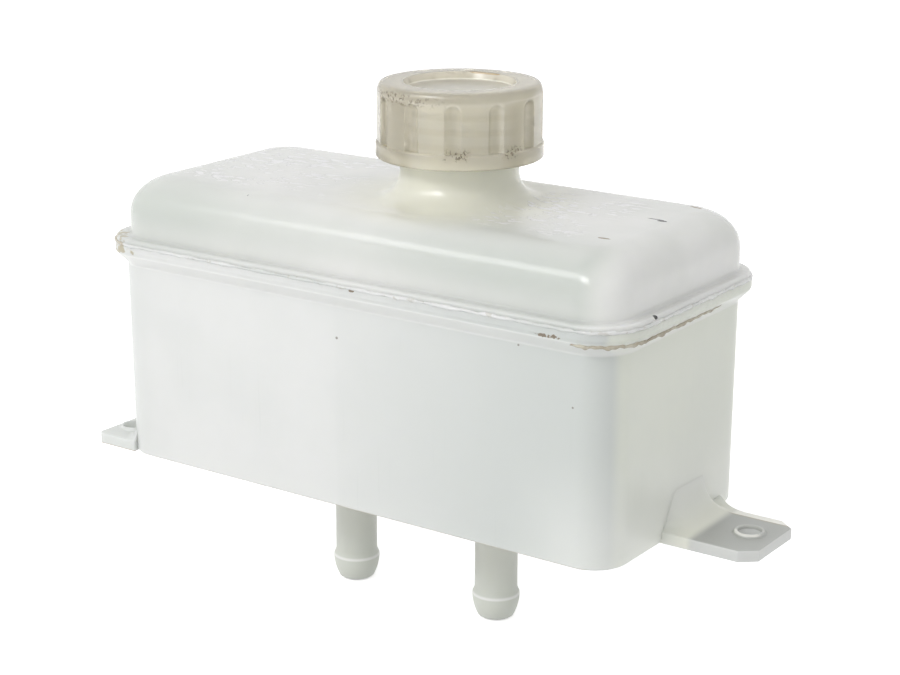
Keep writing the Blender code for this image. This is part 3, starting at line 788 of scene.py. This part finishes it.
outer_neck = np.concatenate([
    arc_points((reach, flare_z), NECK_FLARE_RADIUS, 270, 180, 12),
    run_points((NECK_RADIUS, flare_z), (NECK_RADIUS, LIP_Z - neck_lip), 8),
    arc_points((NECK_RADIUS - neck_lip, LIP_Z - neck_lip), neck_lip, 0, 90, 4),
])
inner_neck = np.concatenate([
    arc_points((bore + NECK_BORE_EDGE, LIP_Z - NECK_BORE_EDGE), NECK_BORE_EDGE, 90, 180, 4),
    arc_points((bore + inner_flare, inner_top_z + inner_flare), inner_flare, 180, 270, 12),
])
cover_rings = np.concatenate([
    foot_rings, heel_rings, outer_dome, outer_flat, turned_rings(outer_neck, NECK_X, turn),
    turned_rings(inner_neck, NECK_X, inner_turn), inner_flat[::-1], inner_dome[::-1],
    plan_rings([wall - COVER_WALL], [COVER_BASE_Z], [CORNER_RADIUS + wall - COVER_WALL], COVER_REAR_INSET),
])
cover_moulding = skin_mesh("cover_moulding", cover_rings, loop=True)
finish_piece(cover_moulding, cover_paint, "reservoir")
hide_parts("cover")

# Thread on the neck.
# A buttress thread of three turns moulded round the neck, which the cap screws on. It shows dimly
# through the cap's wall.
THREAD_PITCH = 4.0
THREAD_HEIGHT = 1.5
THREAD_TURNS = 3.2
THREAD_TOP_Z = LIP_Z - 1.8
THREAD_STEPS = 320


def thread_rings(radius, height, turns, top_z, steps):
    """A ridge along a helix: a rounded trapezoid section that goes down one pitch a turn and fades to
    nothing over the first and last eighth of a turn."""
    turn = np.linspace(0, turns, steps)[:, None]
    fade = np.clip(np.minimum(turn, turns - turn) * 8, 0.02, 1)
    angle = turn * 2 * math.pi
    outline = np.array([(-0.15, -1.3), (0.35, -1.15), (0.85, -0.65), (1.0, -0.35), (1.0, 0.35), (0.85, 0.6),
                        (0.35, 0.85), (-0.15, 1.0)])
    out = radius + outline[None, :, 0] * height * fade
    z = top_z + (outline[None, :, 1] * fade) - turn * THREAD_PITCH
    return np.stack([NECK_X + out * np.cos(angle), out * np.sin(angle), z], -1)


neck_thread = skin_mesh("neck_thread", thread_rings(NECK_RADIUS, THREAD_HEIGHT, THREAD_TURNS, THREAD_TOP_Z,
                                                    THREAD_STEPS))
finish_piece(neck_thread, cover_paint, "reservoir", sharp=60)

# Cap seal.
# A flat ring punched from pale rubber sheet. It is pressed into the cap, rises with it and closes
# the neck's lip.
SEAL_THICKNESS = 1.5
SEAL_INNER_RADIUS = 13.0
SEAL_OUTER_RADIUS = 18.0
SEAL_Z = LIP_Z + AIR
SEAL_EDGE_RADIUS = 0.3
SEAL_AROUND = 120
SEAL_TINT = (0.78, 0.76, 0.68)
SEAL_DEEP_TINT = (0.68, 0.66, 0.58)


def paint_seal():
    """Pale rubber with a fine matt bloom."""
    material, place = start_plastic("seal_rubber", 0.0, 0.1)
    cloud = place_group(milky_clouding, place, SEAL_TINT, SEAL_DEEP_TINT, 0.5, 0.0, 0.65)
    return finish_plastic(material, cloud["Colour"], cloud, 0.0002)


outer, inner = SEAL_OUTER_RADIUS - SEAL_EDGE_RADIUS, SEAL_INNER_RADIUS + SEAL_EDGE_RADIUS
low, high = SEAL_Z + SEAL_EDGE_RADIUS, SEAL_Z + SEAL_THICKNESS - SEAL_EDGE_RADIUS
seal_corners = (((outer, low), -90), ((outer, high), 0), ((inner, high), 90), ((inner, low), 180))
seal_section = np.concatenate([arc_points(centre, SEAL_EDGE_RADIUS, start, start + 90, 4)
                               for centre, start in seal_corners])
seal_ring = skin_mesh("seal_ring", turned_rings(seal_section, NECK_X, even_turn(SEAL_AROUND)), loop=True)
finish_piece(seal_ring, paint_seal(), "seal")
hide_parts("cap_seal")

# Screw cap.
# One ivory moulding with twelve round-ended grip flutes between flat lands over a plain band, a
# rounded top edge, a round recess in the top and a thread inside.
CAP_RADIUS = 22.5
CAP_HEIGHT = 19.9
CAP_BORE_RADIUS = 18.5
CAP_BAND_HEIGHT = 4.2
CAP_BAND_STEP = 0.4
CAP_EDGE_WIDTH = 1.4
CAP_EDGE_HEIGHT = 3.0
CAP_ROOF = 3.8
CAP_RECESS_RADIUS = 14.9
CAP_RECESS_DEPTH = 2.0
CAP_RECESS_DRAFT = 0.5
CAP_RECESS_EDGE = 0.3
CAP_BAND_EDGE = 0.3
CAP_FOOT_RADIUS = 0.6
CAP_MOUTH_EDGE = 0.4
CAP_THREAD_HEIGHT = 1.3
CAP_THREAD_FADE = 1.5
CAP_THREAD_FROM = 17.0
CAP_THREAD_FOOT = 1.2
CAP_THREAD_HEADROOM = 2.5
FLUTE_COUNT = 12
FLUTE_RADIUS = 2.5
FLUTE_DEPTH = 1.3
FLUTE_TOP_MARGIN = 2.6
FLUTE_EDGE = 0.15
FLUTE_FLOOR_RADIUS = CAP_BORE_RADIUS + 1
LAND_FLATNESS = 0.8
LAND_HALF_ANGLE = math.radians(9)
CAP_AROUND = FLUTE_COUNT * 46
CAP_CEILING_Z = SEAL_Z + SEAL_THICKNESS + AIR
CAP_TOP_Z = CAP_CEILING_Z + CAP_ROOF
CAP_BASE_Z = CAP_TOP_Z - CAP_HEIGHT
CAP_TINT = (0.965, 0.930, 0.815)
CAP_SHADE_TINT = (0.660, 0.620, 0.500)
CAP_DEEP_TINT = (0.830, 0.785, 0.650)
CAP_RECESS_WALL_SHADE_TINT = (0.460, 0.430, 0.350)
CAP_RECESS_TINT = (1.000, 0.985, 0.890)
DUST_FILM_TINT = (0.55, 0.47, 0.33)
DUST_TINT = (0.12, 0.09, 0.05)
CAP_LINE_TINT = (0.45, 0.33, 0.18)
CAP_REAR_LINE = [((9, 14.6, 112.2), (8, 1.2, 0.6), 300.0, 1.5)]


def fluted_rings(profile, around):
    """The cap's turned profile with its flutes cut in. A flute is a vertical cylinder with a ball end:
    on a ray at angle d from its middle, its surface lies at reach cos d - sqrt(r^2 - (reach sin d)^2),
    and the cap keeps the smaller radius, with the edge between them eased. Between two flutes the
    wall is drawn in towards the chord, radius cos(edge) / cos(angle from the land's middle)."""
    angle = even_turn(around)[None]
    pitch = 2 * math.pi / FLUTE_COUNT
    off = (angle + pitch / 2) % pitch - pitch / 2
    land = angle % pitch - pitch / 2
    radius, z = profile[:, :1], profile[:, 1:]
    band_z = CAP_BASE_Z + CAP_BAND_HEIGHT
    ball_z = CAP_TOP_Z - FLUTE_TOP_MARGIN - FLUTE_RADIUS
    tool = np.sqrt(np.clip(FLUTE_RADIUS ** 2 - np.clip(z - ball_z, 0, FLUTE_RADIUS) ** 2, 0, None))
    reach = CAP_RADIUS - CAP_BAND_STEP - FLUTE_DEPTH + FLUTE_RADIUS
    inside = tool ** 2 - (reach * np.sin(off)) ** 2
    cut = np.where(inside > 0, reach * np.cos(off) - np.sqrt(np.maximum(inside, 0)), 1000.0)
    walled = (z > band_z - 0.001) & (radius > FLUTE_FLOOR_RADIUS)
    flat = LAND_FLATNESS * np.clip((CAP_TOP_Z - z) / CAP_EDGE_HEIGHT, 0, 1)
    chord = math.cos(LAND_HALF_ANGLE) / np.cos(np.clip(np.abs(land), 0, LAND_HALF_ANGLE))
    drawn = radius * (1 - flat * (1 - chord))
    body = np.where(walled, drawn, radius * np.ones_like(angle))
    gap = np.clip((body - cut) / FLUTE_EDGE, -30, 30)
    eased = body - FLUTE_EDGE * np.logaddexp(0, gap)
    fluted = np.where(walled, np.maximum(eased, FLUTE_FLOOR_RADIUS), body)
    x = NECK_X + fluted * np.cos(angle)
    y = fluted * np.sin(angle)
    return np.stack([x, y, np.broadcast_to(z, x.shape)], -1)


def inner_thread(rings):
    """Cuts the cap's own thread: the bore draws in by a smooth wave of one pitch a turn, which fades
    out near the mouth and near the ceiling."""
    x, y, z = rings[..., 0] - NECK_X, rings[..., 1], rings[..., 2]
    turn = np.arctan2(y, x) / (2 * math.pi)
    phase = (z - THREAD_TOP_Z) / THREAD_PITCH + turn + 0.5
    crest = np.clip(np.cos(2 * math.pi * phase) * 1.6 - 0.1, 0, 1)
    fade = np.clip((z - CAP_BASE_Z - CAP_THREAD_FOOT) / CAP_THREAD_FADE, 0, 1)
    fade = fade * np.clip((CAP_CEILING_Z - CAP_THREAD_HEADROOM - z) / CAP_THREAD_FADE, 0, 1)
    shrink = 1 - crest * fade * CAP_THREAD_HEIGHT / CAP_BORE_RADIUS
    shrink = np.where(np.hypot(x, y) > CAP_THREAD_FROM, shrink, 1)
    return np.stack([NECK_X + x * shrink, y * shrink, z], -1)


def paint_cap():
    """Aged ivory, the clearest of the mouldings: painted shade at both sides, on the top edge and on the
    recess wall, the neck's thread painted dimly behind it as darker bands, and dust caught under the top edge
    and at two flutes' feet."""
    material, place = start_plastic("cap_plastic", 0.66, 0.30)
    x, y, z = axes(place)
    across = calc("SUBTRACT", x, NECK_X * MM)
    from_axis = calc("SQRT", calc("ADD", calc("POWER", across, 2.0), times(y, y)))
    top = ramp(z, 109.2, 110.4)
    # Painted shade on the left and right flanks, where the round wall turns away from the light, and over the
    # rounded top edge and top.
    sides = calc("MAXIMUM", ramp(x, 14.5, 9), ramp(x, 31.8, 33.8, 0.0, 0.95))
    sides = times(sides, calc("SUBTRACT", 1.0, top))
    shaded = calc("MAXIMUM", sides, times(top, 0.75))
    light = blend_colour(shaded, CAP_TINT, CAP_SHADE_TINT)
    # Painted shade on the recess's wall.
    lip = times(band(from_axis, (14.2, 14.5), (15.7, 15.2)), top, 0.7)
    light = blend_colour(lip, light, CAP_RECESS_WALL_SHADE_TINT)
    # The neck's thread painted dimly behind the clear wall as darker bands: a painted shade of the thread
    # seen through it.
    turn = calc("DIVIDE", calc("ARCTAN2", y, across), 2 * math.pi)
    pitches = calc("DIVIDE", calc("SUBTRACT", z, THREAD_TOP_Z * MM), THREAD_PITCH * MM)
    phase = times(calc("ADD", pitches, turn), 2 * math.pi)
    crest = span(calc("SINE", phase), -0.4, 0.9)
    thread = times(crest, band(z, (95.5, 97.5), (107.5, 106)), 0.30)
    light = blend_colour(thread, light, CAP_SHADE_TINT)
    dish = times(ramp(from_axis, 14.9, 14.3), ramp(z, 110.8, 110.5), ramp(z, 109.8, 110.2))
    light = blend_colour(dish, light, CAP_RECESS_TINT)
    cloud = place_group(milky_clouding, place, light, CAP_DEEP_TINT, 0.6, 0.0, 0.22)
    under_edge = times(band(z, (107.8, 109.6), (112, 110.5)), ramp(x, 26, 4, 0.0, 1.0),
                       ramp(from_axis, 18, 20))
    two_flutes = calc("ADD", band(x, (20.5, 22), (27, 25.5)), band(x, (32, 32.8), (34, 33.4)))
    feet = times(band(z, (94.5, 96.0), (98.8, 97.0)), two_flutes, ramp(y, 0.0, -4))
    where = calc("MAXIMUM", under_edge, feet)
    gate = span(noise(place, 70.0, 1.0), 0.34, 0.58)
    grain = span(noise(place, 1200.0, 3.0), 0.53, 0.60)
    film = times(where, times(gate, 0.25))
    colour = blend_colour(film, cloud["Colour"], DUST_FILM_TINT)
    dust = times(grain, times(where, gate), 0.8)
    colour = blend_colour(dust, colour, DUST_TINT)
    colour = add_dirt(place, colour, CAP_REAR_LINE, CAP_LINE_TINT)
    return finish_plastic(material, colour, cloud, 0.0003)


cap_wall = CAP_RADIUS - CAP_BAND_STEP
recess = CAP_RECESS_RADIUS
recess_z = CAP_TOP_Z - CAP_RECESS_DEPTH
recess_foot = recess - CAP_RECESS_DRAFT - CAP_RECESS_EDGE
flute_foot_z = CAP_BASE_Z + CAP_BAND_HEIGHT
band_edge_z = flute_foot_z - CAP_BAND_STEP - 0.1
ease = CAP_RECESS_EDGE
mouth = CAP_MOUTH_EDGE
edge_turn = np.radians(np.linspace(75, 0, 9))
top_edge = np.stack([cap_wall - CAP_EDGE_WIDTH * (1 - np.cos(edge_turn)),
                     CAP_TOP_Z - CAP_EDGE_HEIGHT * (1 - np.sin(edge_turn))], -1)
cap_outside = np.concatenate([
    [(0.5, recess_z)],
    run_points((0.5, recess_z), (recess_foot, recess_z), 6),
    arc_points((recess_foot, recess_z + ease), ease, -90, -15, 3),
    arc_points((recess + ease, CAP_TOP_Z - ease), ease, 165, 90, 4),
    run_points((recess + ease, CAP_TOP_Z), (cap_wall - CAP_EDGE_WIDTH, CAP_TOP_Z), 4),
    top_edge,
    run_points((cap_wall, CAP_TOP_Z - CAP_EDGE_HEIGHT), (cap_wall, flute_foot_z), 42),
    [(cap_wall, flute_foot_z + 0.05), (cap_wall, flute_foot_z - 0.02)],
    arc_points((CAP_RADIUS - CAP_BAND_EDGE, band_edge_z), CAP_BAND_EDGE, 80, 0, 4),
    arc_points((CAP_RADIUS - CAP_FOOT_RADIUS, CAP_BASE_Z + CAP_FOOT_RADIUS), CAP_FOOT_RADIUS, 0, -90, 5),
])
cap_inside = np.concatenate([
    arc_points((CAP_BORE_RADIUS + mouth, CAP_BASE_Z + mouth), mouth, 270, 180, 4),
    run_points((CAP_BORE_RADIUS, CAP_BASE_Z + mouth), (CAP_BORE_RADIUS, CAP_CEILING_Z), 80),
    [(CAP_BORE_RADIUS, CAP_CEILING_Z), (12.0, CAP_CEILING_Z), (0.5, CAP_CEILING_Z)],
])
inside_rings = inner_thread(turned_rings(cap_inside, NECK_X, even_turn(CAP_AROUND)))
cap_rings = np.concatenate([fluted_rings(cap_outside, CAP_AROUND), inside_rings])
cap_moulding = skin_mesh("cap_moulding", cap_rings)
finish_piece(cap_moulding, paint_cap(), "cap")
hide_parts("screw_cap")

# Weld flash.
# The two flanges are hot-plate welded, which leaves an uneven squeezed-out line of plastic in the
# joint all round, speckled brown with caught dirt.
FLASH_RADIUS = 0.48
FLASH_LIFT = 0.07
FLASH_SIDES = 10
FLASH_REPEAT = 470
FLASH_WHITE_AND_HIGHLIGHT_TINT = (0.95, 0.95, 0.93)
FLASH_BITS_TINT = (0.52, 0.47, 0.36)
FLASH_STAIN_TINT = (0.60, 0.54, 0.42)
FLASH_STAINS = [((-83, -37, 63), (14, 10, 2), 300.0, 0.7)]


def flash_rings(offset, z):
    """A thin round section carried round the flange's outline, its size and height wandering with a
    sum of sine waves along the way."""
    path = plan_rings([offset], [z], [CORNER_RADIUS + offset])[0]
    along = np.cumsum(np.linalg.norm(path - np.roll(path, 1, 0), axis=1)) * 2 * math.pi / FLASH_REPEAT
    swell = 0.16 * np.sin(31 * along) + 0.18 * np.sin(83 * along + 1) + 0.16 * np.sin(171 * along + 2)
    size = FLASH_RADIUS * (1 + swell)
    lift = FLASH_LIFT * (np.sin(57 * along + 0.5) + np.sin(133 * along))
    ahead = np.roll(path, -1, 0) - np.roll(path, 1, 0)
    side = np.stack([ahead[:, 1], -ahead[:, 0], np.zeros(len(path))], -1)
    side /= np.linalg.norm(side, axis=1)[:, None]
    turn = even_turn(FLASH_SIDES)[:, None]
    out = (np.cos(turn) * size[None])[..., None] * side[None]
    up = np.stack([np.zeros_like(out[..., 0])] * 2 + [np.sin(turn) * size[None] + lift[None]], -1)
    return path[None] + out + up


def paint_flash():
    """Near white and glossy where it was molten, the white partly a painted highlight for the glints along
    the seam, with brown specks all along and a stain at the far end.
    """
    material, place = start_plastic("flash_plastic", 0.15, 0.4)
    # The near white is partly a painted highlight that stands in for the glints along the seam.
    cloud = place_group(milky_clouding, place, FLASH_WHITE_AND_HIGHLIGHT_TINT, COVER_SHADE_AND_CLOUD_TINT, 0.8, 0.0, 0.16)
    bits = times(span(noise(place, 380.0, 3.0), 0.58, 0.66), 0.35)
    colour = blend_colour(bits, cloud["Colour"], FLASH_BITS_TINT)
    colour = add_dirt(place, colour, FLASH_STAINS, FLASH_STAIN_TINT)
    ragged = times(noise(place, 650.0, 3.0), 0.9)
    return finish_plastic(material, colour, cloud, 0.0006, ragged)


weld_flash = skin_mesh("weld_flash", flash_rings(rim - 0.35, TUB_TOP_Z + 0.22), loop=True)
finish_piece(weld_flash, paint_flash(), "reservoir", sharp=80)

# Seam dirt.
# A run of grime and old sealant that has gathered along the flange's lower edge, round the near
# corner only.
GRIME_RADIUS = 0.46
GRIME_STEPS = 240
GRIME_SIDES = 10
GRIME_TINT = (0.420, 0.380, 0.300)
GRIME_DEEP_TINT = (0.29, 0.25, 0.19)
GRIME_SPOT_TINT = (0.50, 0.47, 0.39)


def grime_rings(offset, z, first_x, last_y):
    """An open run of small circles along the flange's outline between a point of the front side and a
    point of the near end, with a wandering size that fades out towards both ends."""
    path = plan_rings([offset], [z], [CORNER_RADIUS + offset])[0]
    path = np.roll(path, -len(path) // 2, 0)
    near_corner = (path[:, 1] < 0) | (path[:, 0] > HALF_LENGTH)
    path = path[near_corner & (path[:, 0] > first_x) & (path[:, 1] < last_y)]
    share = np.linspace(0, 1, GRIME_STEPS)
    step = np.linspace(0, 1, len(path))
    path = np.stack([np.interp(share, step, path[:, k]) for k in range(3)], -1)
    fade = np.sqrt(np.clip(np.minimum(share * 12, (1 - share) * 3), 0.01, 1))
    swell = 0.18 * np.sin(37 * share) + 0.16 * np.sin(91 * share + 1) + 0.12 * np.sin(160 * share)
    size = GRIME_RADIUS * fade * (1 + swell)
    ahead = np.gradient(path, axis=0)
    side = np.stack([ahead[:, 1], -ahead[:, 0], np.zeros(len(path))], -1)
    side /= np.linalg.norm(side, axis=1)[:, None]
    turn = even_turn(GRIME_SIDES)
    wander = 0.12 * np.sin(53 * share) + 0.10 * np.sin(121 * share)
    rings = path[:, None] + side[:, None] * (size[:, None] * np.cos(turn))[..., None]
    rings[..., 2] += size[:, None] * np.sin(turn) + wander[:, None]
    return rings


def paint_grime():
    """Grey-brown, mottled and matt."""
    material, place = start_plastic("grime", 0.0, 0.0)
    cloud = place_group(milky_clouding, place, GRIME_TINT, GRIME_DEEP_TINT, 0.9, 0.0, 0.6)
    spots = span(noise(place, 330.0, 2.0), 0.42, 0.62)
    return finish_plastic(material, blend_colour(spots, cloud["Colour"], GRIME_SPOT_TINT), cloud, 0.0004)


seam_grime = skin_mesh("seam_grime", grime_rings(rim - 0.28, TUB_HEIGHT + 0.10, 71.5, 14))
finish_piece(seam_grime, paint_grime(), "reservoir", sharp=80)

# Floor, light and camera.
# A white studio sheet under the spigots in a white surround, a small, a wide and a broad soft lamp
# from the front left, and the photograph's long-lens view from above the near end. Places are in metres.
FLOOR_Z = -37.9 * MM
CAMERA_AZIMUTH = math.radians(34.854)
CAMERA_ELEVATION = math.radians(16.647)
CAMERA_ROLL = math.radians(0.155)
EYE = Vector((0.32035, -0.44704, 0.20376))
FOCAL_PIXELS = 2066.13
FRAME_WIDTH = 900
SENSOR_WIDTH = 36.0
FLOOR_REACH = 6.0
FLOOR_TINT = (0.85, 0.85, 0.85)
FLOOR_GLOW = 0.62
WORLD_LIGHT = 0.80
WHITE = (1, 1, 1)


def show_where_seen(tree, lighting, seen, output):
    """Gives a surface one shader where a ray comes from the camera, a mirror reflection or through
    clear material, and another where it only lights the object."""
    path = tree.nodes.new("ShaderNodeLightPath").outputs
    direct = calc("ADD", path["Is Camera Ray"], path["Is Glossy Ray"])
    direct = plus(direct, path["Is Transmission Ray"])
    mix = tree.nodes.new("ShaderNodeMixShader")
    out = tree.nodes.new(output)
    for source, socket in ((direct, mix.inputs["Fac"]), (lighting, mix.inputs[1]), (seen, mix.inputs[2]),
                           (mix.outputs[0], out.inputs["Surface"])):
        tree.links.new(source, socket)


def make_floor():
    """A large flat sheet: pale and matt as a light bounce, and lifted to white where it is looked at,
    so that only the object's soft shadow shows on it."""
    mesh = bpy.data.meshes.new("floor")
    corners = [(x * FLOOR_REACH, y * FLOOR_REACH, FLOOR_Z) for x, y in ((-1, -1), (1, -1), (1, 1), (-1, 1))]
    mesh.from_pydata(corners, [], [(0, 1, 2, 3)])
    material = bpy.data.materials.new("floor_sheet")
    material.use_nodes = True
    tree = material.node_tree
    tree.nodes.clear()
    kinds = ("BsdfDiffuse", "Emission", "AddShader")
    matt, glow, both = (tree.nodes.new("ShaderNode" + kind) for kind in kinds)
    for socket, source in ((matt.inputs["Color"], FLOOR_TINT), (glow.inputs["Color"], WHITE),
                           (glow.inputs["Strength"], FLOOR_GLOW), (both.inputs[0], matt.outputs[0]),
                           (both.inputs[1], glow.outputs[0])):
        feed(socket, source)
    show_where_seen(tree, matt.outputs[0], both.outputs[0], "ShaderNodeOutputMaterial")
    mesh.materials.append(material)
    put("floor", mesh)


def make_world():
    """An even surround: white where it is looked at, and dimmer as light on the object."""
    world = bpy.data.worlds.new("studio")
    bpy.context.scene.world = world
    world.use_nodes = True
    tree = world.node_tree
    tree.nodes.clear()
    lighting, seen = (tree.nodes.new("ShaderNodeBackground") for k in range(2))
    for background, strength in ((lighting, WORLD_LIGHT), (seen, 1.0)):
        feed(background.inputs["Color"], WHITE)
        feed(background.inputs["Strength"], strength)
    show_where_seen(tree, lighting.outputs[0], seen.outputs[0], "ShaderNodeOutputWorld")


def make_lamp(name, place, aim, width, height, watts):
    """A rectangular soft lamp at a place, facing a point."""
    lamp = bpy.data.lights.new(name, "AREA")
    lamp.shape = "RECTANGLE"
    lamp.size = width
    lamp.size_y = height
    lamp.energy = watts
    holder = put(name, lamp)
    holder.location = place
    holder.rotation_euler = (Vector(place) - Vector(aim)).to_track_quat("Z", "Y").to_euler()


def make_camera():
    """The photograph's camera: its place, direction, roll and focal length."""
    ca, sa = math.cos(CAMERA_AZIMUTH), math.sin(CAMERA_AZIMUTH)
    ce, se = math.cos(CAMERA_ELEVATION), math.sin(CAMERA_ELEVATION)
    back = Vector((sa * ce, -ca * ce, se))
    right = Vector((ca, sa, 0))
    turned = Matrix((right, back.cross(right), back)).transposed().to_4x4()
    lens = bpy.data.cameras.new("camera")
    lens.sensor_width = SENSOR_WIDTH
    lens.lens = SENSOR_WIDTH * FOCAL_PIXELS / FRAME_WIDTH
    camera = put("camera", lens)
    camera.matrix_world = Matrix.Translation(EYE) @ turned @ Matrix.Rotation(CAMERA_ROLL, 4, "Z")
    bpy.context.scene.camera = camera


make_floor()
make_world()
make_lamp("small_lamp", (-0.10, -0.75, 0.63), (0.071, -0.035, 0.075), 0.24, 0.24, 1.9)
make_lamp("wide_lamp", (-0.33, -0.70, 0.61), (0.04, -0.03, 0.07), 0.62, 0.19, 1.8)
make_lamp("broad_lamp", (-0.85, -0.95, 0.55), (0, 0, 0.03), 0.90, 0.90, 0.5)
make_camera()
bpy.context.scene.view_settings.view_transform = "Standard"
